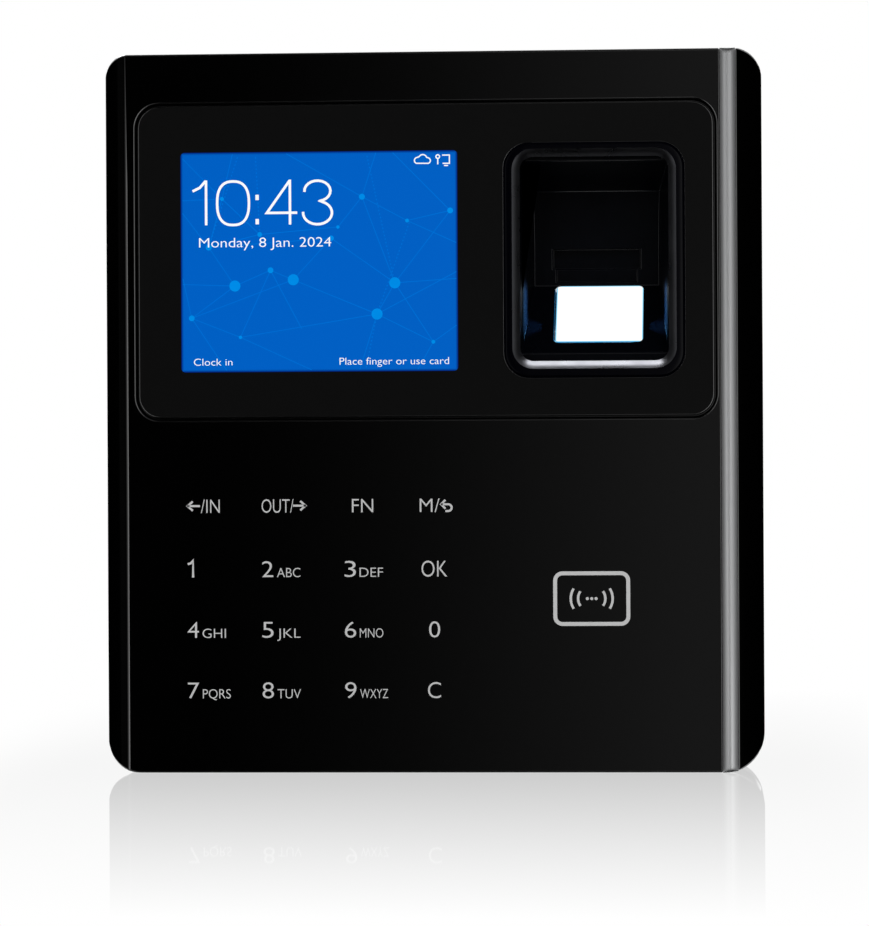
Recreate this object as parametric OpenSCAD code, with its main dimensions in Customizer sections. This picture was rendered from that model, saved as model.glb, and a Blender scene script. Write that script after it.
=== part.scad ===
// Wall-mounted fingerprint and card terminal.
// +Z is up, +X is right and the front faces -Y, all in millimetres.
// The origin is the centre of the wall plate's screw pattern, on the wall's surface (y = 0).

/* [Housing] */
// Width of the housing
body_w = 136.8; // [136:0.1:137]
// Height of the housing
body_h = 148.5; // [146:0.5:154]
// Depth from the wall to the flat front plate
body_d = 36; // [35.5:0.1:37]
// Corner radius of the housing's outline at the top
top_corner_r = 5.5; // [4.5:0.5:6.5]
// Corner radius of the housing's outline at the bottom
bottom_corner_r = 8; // [6:0.5:8.5]
// Radius of the bulging side walls, seen from above
side_r = 12.8; // [12.6:0.1:13]
// Depth over which the side walls bulge
side_bulge_d = 10.5; // [10:0.1:10.8]
// Thickness of the housing's walls
wall = 2; // [1.8:0.1:2.2]
// Distance of the joint between cover and rear shell from the wall
split_d = 12; // [11.5:0.1:12.5]
// Gap between the rear shell's rim and the wall
rim_gap = 0.5; // [0.4:0.1:0.8]

/* [Side trim] */
// Width of the silver strip at the right edge of the front plate
trim_w = 3.2; // [3:0.1:3.4]
// Height of the strip's crown above the front plate
trim_crown = 0.5; // [0.3:0.1:0.5]

/* [Lens panel] */
// Width of the glossy lens panel
lens_w = 118.8; // [118:0.1:119]
// Height of the lens panel
lens_h = 64.4; // [64:0.1:65]
// Corner radius of the lens panel
lens_r = 4.5; // [4:0.5:5]
// Thickness of the lens panel
lens_t = 1.5; // [1.3:0.1:1.5]
// Width of the groove round the lens panel
groove = 0.5; // [0.3:0.1:0.6]

/* [Display] */
// Width of the display's picture
picture_w = 57.3; // [56:0.1:58]
// Height of the display's picture
picture_h = 45.4; // [44:0.1:46]

/* [Finger bay] */
// Outer width of the bezel round the bay
bezel_w = 36.7; // [36:0.1:37]
// Outer height of the bezel
bezel_h = 47.8; // [47:0.1:48]
// Width of the bay's opening
bay_w = 30.5; // [30:0.1:31]
// Height of the bay's opening
bay_h = 41.4; // [41:0.1:42]
// Width of the fingerprint platen
platen_w = 17.4; // [16:0.1:17.6]
// Corner radius of the platen
platen_r = 1.2; // [0.8:0.1:1.6]
// How far the bezel stands out of the lens panel
bezel_proud = 0.5; // [0.3:0.1:0.5]

/* [Wall plate] */
// Distance between the wall screws across the plate
screw_pitch_x = 80; // [78:1:82]
// Distance between the wall screws up the plate
screw_pitch_z = 76; // [74:1:78]
// Radius of the wall screw holes
screw_hole_r = 2.2; // [2:0.1:2.4]
// Thickness of the plate's steel sheet
sheet_t = 1.2; // [1:0.1:1.2]
// How far the terminal lifts to come off its hooks
lift = 8; // [7:0.5:8]

/* [Hidden] */
$fn = 48;
bite = 1;
half_w = body_w / 2;
half_h = body_h / 2;
front_y = -body_d;
split_y = -split_d;
bulge_x = half_w - side_r;
bulge_y = front_y + side_bulge_d;
crease_x = bulge_x + sqrt(side_r * side_r - side_bulge_d * side_bulge_d);
cover_wall = 2.4;
cover_inner_y = front_y + cover_wall;

// Lens panel and the thickened wall behind it
lens_x = -1;
lens_z = 31.25;
tape_t = 0.3;
pocket_y = front_y + lens_t + tape_t;
pad_wall = 1.8;
pad_y = pocket_y + pad_wall;
pad_margin = 2.5;

// Display
picture_x = -22.85;
picture_z = 31.15;
aperture_margin = 1.5;
aperture_w = picture_w + 2 * aperture_margin;
aperture_h = picture_h + 2 * aperture_margin;
aperture_r = 1.5;
gasket_t = 0.5;
gasket_w = 1.5;
gasket_drop = 0.2;
lcd_y = pad_y + gasket_t;
lcd_x0 = -55;
lcd_x1 = 12.3;
lcd_h = 50.2;
lcd_t = 2.6;
lcd_cell_t = 0.7;
bracket_y = lcd_y + lcd_t;
bracket_t = 1;
bracket_half_h = 25;
bracket_ear = 3;
bracket_hole_margin = 14;
bracket_hole_half_h = 14;
bracket_screw_x = [-50, 6];
bracket_screw_z = [picture_z - 29.2, picture_z + 29.2];

// Finger bay: its section is given as depths (y) and heights (z)
bay_x = 33.85;
bay_z = 31.05;
bezel_y = front_y - bezel_proud;
bezel_r = 5;
bay_r = 2.7;
chamfer = 1.5;
// Gaps from the bezel to the lens, to the cover and to the tape
bezel_lens_gap = 0.1;
bezel_cover_gap = 0.2;
bezel_tape_gap = 0.3;
bezel_flange = 2;
bezel_flange_t = 1;
housing_y = pad_y + bezel_flange_t;
platen_front = [-29, 14.35];
platen_back = [-16.1, 26.5];
platen_run = platen_back - platen_front;
platen_l = norm(platen_run);
platen_dir = platen_run / platen_l;
into = [platen_dir[1], -platen_dir[0]];
floor_t = 1.6;
floor_front = [housing_y, platen_front[1] - (platen_front[0] - housing_y) * platen_run[1] / platen_run[0]];
bay_side = 1.6;
bay_wall = 1.5;
housing_half_w = bay_w / 2 + bay_side;
stop_y = -16;
stop_tip_z = 34.35;
stop_top = [-16.6, 41.7];
ceiling_back = [-17.8, 46.3];
niche_w = 18.5;
niche_y = -13.4;
niche_z = [27.4, 30.15];
bay_back_w = 26.3;
housing_back_y = niche_y + 1.6;
housing_top_z = 47.9;
housing_low_z = 8.75;
heel_z = 25.7;
cheek_x = 8.8;
cheek_t = 1.7;
camera_board_y = -9.6;
camera_z = 19.3;
led_board_z = 12;
board_t = 1.2;
sensor_screw_dx = 14;
sensor_screw_dz = [-29.15, 29.15];
sensor_ear_y = pad_y + 2;
sensor_ear_t = 2;
sensor_ear_half_w = 3;
sensor_ear_out = 3;
sensor_ear_in = 7;

// Keypad and card reader
keypad_box = [-57, 10, -66, -12];
antenna_box = [14, 54, -62, -16];
antenna_t = 0.8;
antenna_turn_w = 1;
antenna_turn_pitch = 3;
flex_t = 0.3;

// Rear shell
recess = [55, 60];
recess_y = -5;
recess_wall_y = -7;
shell_back_y = -rim_gap;
shell_back_t = 2;
lip_t = 1.2;
lip_h = 2;
window = [-36, 36, -22, 2];
pocket_half_w = 10;
pocket_z = [-60, -42];
pocket_front_y = -13.5;
pocket_wall = 1.5;
boss_overlap = 0.5;
lock_boss_half_w = 6;
board_pilot_y = -9;
lip_break_z = [-42, -8];
hook_slot_side = 0.5;
hook_slot_under = 0.5;
hook_slot_over = 0.05;
lip_fit = 0.1;
slot_half_w = 8;
slot_half_h = 0.8;
slot_pitch = 4;

// Screws: [shank radius, head radius, head height]
housing_screw = [1.4, 2.7, 2];
small_screw = [1, 1.9, 1.3];
board_screw = [1.25, 2.3, 1.5];
lock_screw_size = [1.5, 2.75, 2.6];
housing_screw_at = [for (sx = [-1, 1], sz = [-1, 1]) [sx * 60.5, sz * 66.5]];
housing_screw_seat = -8;
housing_screw_l = 16;
small_screw_l = 4.4;
sensor_screw_l = 4.8;
board_screw_l = 7.5;
pilot_floor = 0.6;
screw_clearance = 0.2;
cover_boss_r = 3;
small_boss_r = 2.4;
shell_boss_r = 4;
board_boss_r = 3;
board_screw_at = [[-52, 0], [52, 0], [-50, -58], [50, -58]];

// Wall plate
plate_half_w = 52;
plate_z = [-48, 54];
plate_r = 4;
plate_window = [-38, 38, -30, 6];
hook_x = 48;
hook_z = [-46, 20];
hook_w = 8;
hook_rise = 6;
hook_front_y = -8.5;
hook_window_h = 7;
lock_y = -8;
tab_half_w = 8;
tab_front_y = -12;
lock_seat_z = -half_h + 9;
lock_screw_l = 20;
lock_drive_r = 1.4;
lock_drive_d = 1.6;
lock_pin_r = 0.5;

// Main board
pcb_y = -17.6;
pcb_t = 1.6;
pcb_back_y = pcb_y + pcb_t;
pcb_box = [-57, 57, -66, 4];

// Tamper switch
tamper_at = [-44, -12];
tamper_r = 1.6;
tamper_collar_r = 2.8;
tamper_window = 3.5;
switch_wall = 1.2;
switch_fit = 0.3;
switch_floor_t = 1;
spring_gap = 0.6;
spring_wire_r = 0.22;
spring_l = 5.9;
spring_turns = 5;

// USB port, its flap and the reset button on the left side wall
usb_z = -20.5;
usb_w = 13.1;
usb_t = 7;
usb_front_x = -half_w + 3.7;
flap_z = [-38, -12];
flap_y = [-26.4, -15.2];
flap_t = 1.2;
flap_rib_y = flap_y[0] + 2;
flap_gap = 0.3;
flap_pin_x = -half_w + 1.1;
flap_pin_y = -15.2;
flap_pin_r = 0.5;
flap_pin_fit = 0.06;
knuckle_r = 0.9;
flap_floor_x = -half_w + 1.6;
flap_back_room = [-1.2, 1.3];
flap_pad_x = [-half_w + wall - 0.3, -half_w + wall + 1];
flap_pad_y = [-28, -14.2];
flap_pad_z = [-41, -9];
flap_wall_back_x = -half_w + 4;
reset_z = -33;
reset_y = -19.6;
reset_r = 1;
reset_hole_r = 0.9;
reset_x = [-65, -60];
reset_switch_x = [-61.5, -55.5];
reset_switch_t = 4;

// Parts on the main board
jack_box = [-34, -18, -19.5, -6];
jack_back_y = -5.5;
jack_mouth = [11.8, 8];
jack_mouth_drop = 0.2;
jack_latch_half_w = 3;
jack_latch_d = 1.6;
block_x = [-8, 8, 24];
block_w = 14.4;
block_z = [-17, -8];
block_back_y = -7.5;
block_ways = 4;
block_pitch = 3.5;
way_half_w = 1.2;
way_depth = 6;
way_z = [block_z[1] - 4.5, block_z[1] - 1.5];
way_screw_y = block_back_y - 3.2;
way_screw_r = 1.2;
way_bore_r = 1.3;
way_bore_d = 2;
speaker_at = [-10, 38];
speaker_r = 14;
speaker_magnet_r = 8;
speaker_y = [-14, -11, recess_wall_y - 0.5];
speaker_ring_w = 2;
cell_at = [-34, -52];
cell_r = 10;
cell_t = 3.2;
cell_lift = 1;
cell_fit = 0.2;
cell_holder_half = [12, 9];
cell_holder_t = 5;

// ---- Shapes that repeat ----

// A box given by its ends along each axis
module span(x, y, z) {
    translate([x[0], y[0], z[0]]) cube([x[1] - x[0], y[1] - y[0], z[1] - z[0]]);
}

// The two ends of a length round its middle, and the ends of a length grown by a margin
function around(middle, half) = [middle - half, middle + half];
function grown(ends, margin) = [ends[0] - margin, ends[1] + margin];

// A round bar along Y
module bar_y(x, z, r, y0, y1) {
    translate([x, y0, z]) rotate([-90, 0, 0]) cylinder(r = r, h = y1 - y0);
}

// A round bar along X
module bar_x(y, z, r, x0, x1) {
    translate([x0, y, z]) rotate([0, 90, 0]) cylinder(r = r, h = x1 - x0);
}

// A round bar along Z
module bar_z(x, y, r, z0, z1) {
    translate([x, y, z0]) cylinder(r = r, h = z1 - z0);
}

// A rectangle with one radius for its upper corners and one for its lower corners
module rounded_outline(w, h, r_top, r_bottom) {
    translate([0, (r_bottom - r_top) / 2]) square([w, h - r_top - r_bottom], center = true);
    translate([0, h / 2 - r_top]) square([w - 2 * r_top, 2 * r_top], center = true);
    translate([0, r_bottom - h / 2]) square([w - 2 * r_bottom, 2 * r_bottom], center = true);
    for (s = [-1, 1]) {
        translate([s * (w / 2 - r_top), h / 2 - r_top]) circle(r = r_top);
        translate([s * (w / 2 - r_bottom), r_bottom - h / 2]) circle(r = r_bottom);
    }
}

// Turns an outline in X and Z into a slab between two depths
module slab(y0, y1) {
    translate([0, y1, 0]) rotate([90, 0, 0]) linear_extrude(y1 - y0) children();
}

// A slab with equal rounded corners round a centre in X and Z
module rounded_slab(x, z, w, h, r, y0, y1) {
    translate([x, 0, z]) slab(y0, y1) rounded_outline(w, h, r, r);
}

// Slabs with the outlines of the lens, the picture's opening, the bezel and the bay, each grown by a gap
module lens_slab(gap, r, y0, y1) {
    rounded_slab(lens_x, lens_z, lens_w + 2 * gap, lens_h + 2 * gap, r, y0, y1);
}

module picture_slab(gap, y0, y1) {
    rounded_slab(picture_x, picture_z, aperture_w + 2 * gap, aperture_h + 2 * gap, aperture_r, y0, y1);
}

module bezel_slab(gap, r, y0, y1) {
    rounded_slab(bay_x, bay_z, bezel_w + 2 * gap, bezel_h + 2 * gap, r, y0, y1);
}

module bay_slab(gap, y0, y1) {
    rounded_slab(bay_x, bay_z, bay_w + 2 * gap, bay_h + 2 * gap, bay_r + gap, y0, y1);
}

// Extrudes an outline drawn in Y and Z along X
module along_x(x0, x1) {
    translate([x0, 0, 0]) rotate([90, 0, 90]) linear_extrude(x1 - x0) children();
}

// The housing's outline, drawn in by a margin on every side
module housing_slab(margin, y0, y1) {
    w = body_w - 2 * margin;
    h = body_h - 2 * margin;
    slab(y0, y1) rounded_outline(w, h, top_corner_r - margin, bottom_corner_r - margin);
}

// The cover's plan with its bulging sides, drawn in by a margin at the sides
module cover_plan(margin, face_y, back_y) {
    r = side_r - margin;
    intersection() {
        union() {
            for (s = [-1, 1]) translate([s * bulge_x, bulge_y]) circle(r = r, $fn = 128);
            translate([-bulge_x, face_y]) square([2 * bulge_x, back_y - face_y]);
            translate([-bulge_x - r, bulge_y]) square([2 * (bulge_x + r), back_y - bulge_y]);
        }
        translate([-half_w, face_y]) square([body_w, back_y - face_y]);
    }
}

// A solid with the cover's plan and the housing's outline
module cover_form(margin, face_y, back_y) {
    intersection() {
        translate([0, 0, -half_h]) linear_extrude(body_h) cover_plan(margin, face_y, back_y);
        housing_slab(margin, face_y - bite, back_y + bite);
    }
}

// A screw along Y with its head at seat_y on the side given by dir, and a cross recess
module screw_y(x, z, size, length, seat_y, dir) {
    translate([x, seat_y, z]) rotate([dir * 90, 0, 0]) difference() {
        union() {
            translate([0, 0, -size[2]]) cylinder(r = size[1], h = size[2]);
            cylinder(r = size[0], h = length);
        }
        for (a = [0, 90]) rotate([0, 0, a])
            span(around(0, 0.6 * size[1]), around(0, 0.2 * size[0]), [-size[2] - bite, -0.4 * size[2]]);
    }
}

// The way to offset a path at its point i, so that a strip keeps its thickness through the bend
function left_of(step) = [-step[1], step[0]] / norm(step);
function mitre(points, i) =
    let (before = max(i, 1), after = min(i + 1, len(points) - 1),
        a = left_of(points[before] - points[before - 1]), b = left_of(points[after] - points[after - 1]))
    (a + b) / (1 + a * b);

// A flat strip of even thickness that follows points in Y and Z
module ribbon(points, t, x0, x1) {
    count = len(points);
    along_x(x0, x1) polygon(concat(
        [for (i = [0 : count - 1]) points[i] + t / 2 * mitre(points, i)],
        [for (i = [count - 1 : -1 : 0]) points[i] - t / 2 * mitre(points, i)]));
}

// ---- Housing ----

module front_cover() color([0.02, 0.02, 0.022]) difference() {
    union() {
        difference() {
            cover_form(0, front_y, split_y);
            cover_form(wall, cover_inner_y, split_y + bite);
        }
        lens_slab(pad_margin, lens_r, cover_inner_y - bite, pad_y);
        for (p = housing_screw_at) bar_y(p[0], p[1], cover_boss_r, cover_inner_y - bite, split_y);
        bracket_bars(small_boss_r, pad_y - bite, bracket_y);
        sensor_bars(small_boss_r, pad_y - bite, sensor_ear_y);
        span(flap_pad_x, flap_pad_y, flap_pad_z);
    }
    lens_slab(groove, lens_r + groove, front_y - bite, pocket_y);
    picture_slab(0, front_y, pad_y + bite);
    bezel_slab(bezel_cover_gap, bezel_r + bezel_cover_gap, front_y, pad_y + bite);
    trim_groove();
    for (p = housing_screw_at)
        bar_y(p[0], p[1], housing_screw[0], housing_screw_seat - housing_screw_l - 1, split_y + bite);
    bracket_bars(small_screw[0], pocket_y + pilot_floor, bracket_y + bite);
    sensor_bars(small_screw[0], pocket_y + pilot_floor, sensor_ear_y + bite);
    flap_recess();
}

// Equal bars at the display bracket's screws, and at the sensor housing's
module bracket_bars(r, y0, y1) {
    for (x = bracket_screw_x, z = bracket_screw_z) bar_y(x, z, r, y0, y1);
}

module sensor_bars(r, y0, y1) {
    for (s = [-1, 1], dz = sensor_screw_dz) bar_y(bay_x + s * sensor_screw_dx, bay_z + dz, r, y0, y1);
}

// The USB flap's recess, with the knuckle's trough, the socket's opening, the pin hole and the hinge's bore
module flap_recess() {
    flap_way_z = grown(flap_z, flap_gap);
    span([-half_w - bite, flap_floor_x], [flap_y[0] - flap_gap, flap_pin_y + flap_back_room[1]], flap_way_z);
    span([flap_floor_x - bite, flap_floor_x + 0.8],
        [flap_pin_y + flap_back_room[0], flap_pin_y + flap_back_room[1]], flap_way_z);
    span([-half_w, flap_wall_back_x], grown([pcb_y - usb_t, pcb_y], 0.4), around(usb_z, usb_w / 2 + 0.6));
    bar_x(reset_y, reset_z, reset_hole_r, -half_w, flap_wall_back_x);
    bar_z(flap_pin_x, flap_pin_y, flap_pin_r, flap_z[0] - 2.5, flap_z[1] + 2.5);
}

// The groove that the trim's tongue sits in
module trim_groove() {
    span([crease_x - trim_w, crease_x], [front_y - bite, front_y + 1.2], [-half_h - bite, half_h + bite]);
}

module side_trim() color([0.72, 0.72, 0.73]) intersection() {
    r = (trim_w * trim_w / 4 + trim_crown * trim_crown) / (2 * trim_crown);
    translate([0, 0, -half_h]) linear_extrude(body_h) intersection() {
        translate([crease_x - trim_w / 2, front_y - trim_crown + r]) circle(r = r, $fn = 128);
        translate([crease_x - trim_w, front_y - bite]) square([trim_w, 1.2 + bite]);
    }
    housing_slab(0, front_y - 2, front_y + 3);
}

module display_lens() color([0.03, 0.03, 0.035]) difference() {
    lens_slab(0, lens_r, front_y, front_y + lens_t);
    bezel_slab(bezel_lens_gap, bezel_r + bezel_lens_gap, front_y - bite, front_y + lens_t + bite);
}

module lens_tape() color([0.08, 0.08, 0.08]) difference() {
    lens_slab(0, lens_r, pocket_y - tape_t, pocket_y);
    picture_slab(0.2, pocket_y - bite, pocket_y + bite);
    bezel_slab(bezel_tape_gap, bezel_r, pocket_y - bite, pocket_y + bite);
}

module rear_shell() color([0.05, 0.05, 0.055]) difference() {
    union() {
        difference() {
            housing_slab(0, split_y, shell_back_y);
            difference() {
                housing_slab(wall, split_y - bite, shell_back_y - shell_back_t);
                span(around(0, recess[0] + wall), [recess_wall_y, 0], around(0, recess[1] + wall));
            }
        }
        shell_lip();
        for (p = housing_screw_at) bar_y(p[0], p[1], shell_boss_r, split_y, shell_back_y - bite);
        for (p = board_screw_at) bar_y(p[0], p[1], board_boss_r, pcb_back_y, recess_wall_y + boss_overlap);
        span(around(0, pocket_half_w + pocket_wall),
            [pocket_front_y - pocket_wall, recess_wall_y + boss_overlap],
            [pocket_z[0] - wall, pocket_z[1] + pocket_wall]);
        span(around(0, lock_boss_half_w), [split_y, shell_back_y - bite], [-half_h + 1, pocket_z[0]]);
    }
    span(around(0, recess[0]), [recess_y, bite], around(0, recess[1]));
    span(around(0, pocket_half_w), [pocket_front_y, recess_y + bite], pocket_z);
    span([window[0], window[1]], [recess_wall_y - bite, recess_y + bite], [window[2], window[3]]);
    for (s = [-1, 1], z = hook_z)
        span(around(s * hook_x, hook_w / 2 + hook_slot_side), [recess_wall_y - bite, recess_y + bite],
            [z - lift - hook_slot_under, z + sheet_t + hook_slot_over]);
    for (p = housing_screw_at) {
        bar_y(p[0], p[1], housing_screw[0] + 0.3, split_y - bite, 0);
        bar_y(p[0], p[1], housing_screw[1] + 0.4, housing_screw_seat, 0);
    }
    for (p = board_screw_at) bar_y(p[0], p[1], board_screw[0], pcb_back_y - bite, board_pilot_y);
    bar_z(0, lock_y, lock_screw_size[0] + 0.2, -half_h - bite, pocket_z[0] + bite);
    bar_z(0, lock_y, lock_screw_size[1] + 0.4, -half_h - bite, lock_seat_z);
    bar_y(tamper_at[0], tamper_at[1], tamper_r + 0.3, recess_wall_y - bite, recess_y + bite);
    // Sound slots behind the speaker
    for (i = [-2 : 2])
        span(around(speaker_at[0], slot_half_w), [recess_wall_y - bite, recess_y + bite],
            around(speaker_at[1] + slot_pitch * i, slot_half_h));
}

// The tongue that lines the rear shell up inside the cover, with gaps beside the flap and its hinge
module shell_lip() difference() {
    housing_slab(wall + lip_fit, split_y - lip_h, split_y + bite);
    housing_slab(wall + lip_fit + lip_t, split_y - lip_h - bite, split_y + 2 * bite);
    for (s = [-1, 1]) span(around(s * half_w, 10), [split_y - lip_h - bite, split_y], lip_break_z);
}

module housing_screws() color("silver") for (p = housing_screw_at)
    screw_y(p[0], p[1], housing_screw, housing_screw_l, housing_screw_seat, 1);

// ---- Wall plate ----

module wall_plate() color([0.6, 0.61, 0.63]) difference() {
    through_sheet = [-sheet_t - bite, bite];
    union() {
        difference() {
            plate_sheet();
            span([plate_window[0], plate_window[1]], through_sheet, [plate_window[2], plate_window[3]]);
            for (s = [-1, 1], z = hook_z)
                span(around(s * hook_x, hook_w / 2), through_sheet,
                    [z + sheet_t, z + sheet_t + hook_window_h]);
        }
        for (s = [-1, 1], z = hook_z) plate_hook(s * hook_x, z);
        span([-tab_half_w, tab_half_w], [tab_front_y, 0], [plate_z[0], plate_z[0] + sheet_t]);
    }
    for (sx = [-0.5, 0.5], sz = [-0.5, 0.5])
        bar_y(sx * screw_pitch_x, sz * screw_pitch_z, screw_hole_r, through_sheet[0], through_sheet[1]);
    bar_z(0, lock_y, lock_screw_size[0] + 0.3, plate_z[0] - bite, plate_z[0] + sheet_t + bite);
    span(around(tamper_at[0], tamper_window), through_sheet,
        [tamper_at[1] - tamper_window, tamper_at[1] + lift + tamper_window]);
}

module plate_sheet() {
    h = plate_z[1] - plate_z[0];
    rounded_slab(0, plate_z[0] + h / 2, 2 * plate_half_w, h, plate_r, -sheet_t, 0);
}

// A hook bent out of the sheet: an arm towards the terminal and a finger that points up
module plate_hook(x, z) {
    span(around(x, hook_w / 2), [hook_front_y, -sheet_t / 2], [z, z + sheet_t]);
    span(around(x, hook_w / 2), [hook_front_y, hook_front_y + sheet_t], [z, z + hook_rise]);
}

// The security screw: its drive is a hexagon with a pin in the middle
module lock_screw() color("silver") difference() {
    head_z = lock_seat_z - lock_screw_size[2];
    union() {
        bar_z(0, lock_y, lock_screw_size[1], head_z, lock_seat_z);
        bar_z(0, lock_y, lock_screw_size[0], lock_seat_z, lock_seat_z + lock_screw_l);
    }
    difference() {
        translate([0, lock_y, head_z - bite]) cylinder(r = lock_drive_r, h = bite + lock_drive_d, $fn = 6);
        bar_z(0, lock_y, lock_pin_r, head_z, lock_seat_z);
    }
}

// ---- Display ----

module lcd_panel() color([0.15, 0.2, 0.3]) {
    span([lcd_x0, lcd_x1], [lcd_y + lcd_cell_t, bracket_y], around(picture_z, lcd_h / 2));
    span([lcd_x0 + 1, lcd_x1 - 4], [lcd_y, lcd_y + lcd_cell_t], around(picture_z, lcd_h / 2 - 0.8));
}

module lcd_gasket() color([0.12, 0.12, 0.12]) difference() {
    h = aperture_h - 2 * gasket_drop;
    rounded_slab(picture_x, picture_z, aperture_w + 2 * gasket_w, h + 2, 1, pad_y, lcd_y);
    rounded_slab(picture_x, picture_z, aperture_w, h, 1, pad_y - bite, lcd_y + bite);
}

module lcd_bracket() color([0.7, 0.71, 0.72]) difference() {
    sheet = [bracket_y, bracket_y + bracket_t];
    union() {
        span([lcd_x0, lcd_x1], sheet, around(picture_z, bracket_half_h));
        for (x = bracket_screw_x) span(around(x, bracket_ear), sheet, grown(bracket_screw_z, bracket_ear));
    }
    span(grown([lcd_x0, lcd_x1], -bracket_hole_margin), grown(sheet, bite),
        around(picture_z, bracket_hole_half_h));
    bracket_bars(small_screw[0] + screw_clearance, sheet[0] - bite, sheet[1] + bite);
}

module lcd_bracket_screws() color("silver") for (x = bracket_screw_x, z = bracket_screw_z)
    screw_y(x, z, small_screw, small_screw_l, bracket_y + bracket_t, 1);

module lcd_flex() color([0.75, 0.5, 0.2])
    ribbon([[lcd_y + 1.6, picture_z - lcd_h / 2], [lcd_y + 1.6, 3], [-26, 0.5], [-20, 0.5],
        [pcb_y - 1, -0.5], [pcb_y - 1, -2]], flex_t, -32, -14);

// ---- Keypad and card reader ----

module keypad_board() color([0.05, 0.3, 0.15])
    span([keypad_box[0], keypad_box[1]], [cover_inner_y, cover_inner_y + board_t],
        [keypad_box[2], keypad_box[3]]);

module keypad_flex() color([0.8, 0.8, 0.78])
    ribbon([[cover_inner_y + board_t + 0.15, -20], [cover_inner_y + board_t + 0.15, -24], [-28, -27],
        [-21, -27], [pcb_y - 1, -25], [pcb_y - 1, -22]], flex_t, -48, -38);

module rfid_antenna() color([0.1, 0.25, 0.5]) {
    span([antenna_box[0], antenna_box[1]], [cover_inner_y, cover_inner_y + antenna_t],
        [antenna_box[2], antenna_box[3]]);
    for (i = [0 : 2]) difference() {
        antenna_turn(2 + antenna_turn_pitch * i);
        antenna_turn(2 + antenna_turn_pitch * i + antenna_turn_w);
    }
}

module antenna_turn(inset) {
    span(grown([antenna_box[0], antenna_box[1]], -inset),
        [cover_inner_y + antenna_t - 0.2, cover_inner_y + antenna_t + 0.3],
        grown([antenna_box[2], antenna_box[3]], -inset));
}

module rfid_cable() color([0.75, 0.1, 0.1])
    ribbon([[cover_inner_y + antenna_t + 0.5, -41], [cover_inner_y + antenna_t + 0.5, -38], [-28, -36.5],
        [-22, -37.5], [pcb_y - 1.5, -36], [pcb_y - 1.5, -33]], 1, 31, 35);

// ---- Finger bay and sensor ----

module scanner_bezel() color([0.03, 0.03, 0.04]) difference() {
    union() {
        bezel_slab(0, bezel_r, bezel_y, pad_y + 0.1);
        bezel_slab(bezel_flange, bezel_r, pad_y, housing_y);
    }
    bay_slab(0, bezel_y - bite, housing_y + bite);
    hull() {
        bay_slab(chamfer, bezel_y - 0.1, bezel_y, $fn = 32);
        bay_slab(0, bezel_y + chamfer, bezel_y + chamfer + 0.1, $fn = 32);
    }
}

// The bay's hollow: its section in Y and Z, narrowed towards the back
module bay_hollow() {
    intersection() {
        along_x(bay_x - bay_w, bay_x + bay_w) polygon([
            [housing_y - bite, floor_front[1] - bite * platen_run[1] / platen_run[0]],
            platen_back, [stop_y, stop_tip_z], stop_top, ceiling_back,
            [housing_y, bay_z + bay_h / 2], [housing_y - bite, bay_z + bay_h / 2]]);
        translate([bay_x, 0, -half_h]) linear_extrude(body_h) polygon([
            [-bay_w / 2, housing_y - bite], [-bay_w / 2, housing_y], [-bay_back_w / 2, stop_y],
            [bay_back_w / 2, stop_y], [bay_w / 2, housing_y], [bay_w / 2, housing_y - bite]]);
    }
    // The niche under the finger stop, with a step
    span(around(bay_x, niche_w / 2), [stop_y - 0.1, niche_y], [niche_z[1], stop_tip_z]);
    span(around(bay_x, niche_w / 2 - 0.8), [stop_y - 0.1, niche_y - 0.8], [niche_z[0], niche_z[1] + 0.05]);
}

module sensor_housing() color([0.03, 0.03, 0.03]) difference() {
    slope = platen_run[1] / platen_run[0];
    union() {
        along_x(bay_x - housing_half_w, bay_x + housing_half_w) polygon([
            [housing_y, housing_low_z], [housing_y + bay_wall, housing_low_z],
            floor_front + [bay_wall, bay_wall * slope] + [0, -2.3],
            platen_back + floor_t * into + [0.4, 0.38], [housing_back_y, heel_z],
            [housing_back_y, housing_top_z], [ceiling_back[0] + 0.6, housing_top_z],
            [housing_y, bay_z + bay_h / 2 + bay_side]]);
        bezel_slab(bezel_flange, bezel_r, housing_y, housing_y + bay_wall);
        for (s = [-1, 1], dz = sensor_screw_dz)
            span(around(bay_x + s * sensor_screw_dx, sensor_ear_half_w),
                [sensor_ear_y, sensor_ear_y + sensor_ear_t],
                dz > 0 ? [bay_z + dz - sensor_ear_in, bay_z + dz + sensor_ear_out]
                    : [bay_z + dz - sensor_ear_out, bay_z + dz + sensor_ear_in]);
        for (s = [-1, 1]) sensor_cheek(s);
    }
    bay_hollow();
    platen_column(bite, 2 * floor_t);
    sensor_bars(small_screw[0] + screw_clearance, sensor_ear_y - bite, sensor_ear_y + sensor_ear_t + bite);
}

// A side plate under the bay's floor that holds the prism, the lights and the camera
module sensor_cheek(s) {
    x = bay_x + s * (cheek_x + cheek_t / 2);
    along_x(x - cheek_t / 2, x + cheek_t / 2) polygon([
        [-29.5, led_board_z], platen_front + floor_t / 2 * into, platen_back + floor_t / 2 * into,
        [camera_board_y, heel_z], [camera_board_y, led_board_z]]);
}

module sensor_prism() color([0.75, 0.9, 0.95]) intersection() {
    front_heel = platen_front + floor_t * into;
    back_heel = platen_back + floor_t * into;
    along_x(bay_x - platen_w / 2 - bite, bay_x + platen_w / 2 + bite)
        polygon([platen_front, platen_back, back_heel, [back_heel[0], front_heel[1]], front_heel]);
    platen_column(bite, platen_l);
}

// The platen's rounded outline, as a column square to its face, from above the face to below it
module platen_column(above, below) {
    middle = (platen_front + platen_back) / 2;
    translate([bay_x, middle[0], middle[1]]) rotate([atan2(platen_run[1], platen_run[0]), 0, 0])
        translate([0, 0, -below]) linear_extrude(above + below)
            rounded_outline(platen_w, platen_l, platen_r, platen_r);
}

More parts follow.
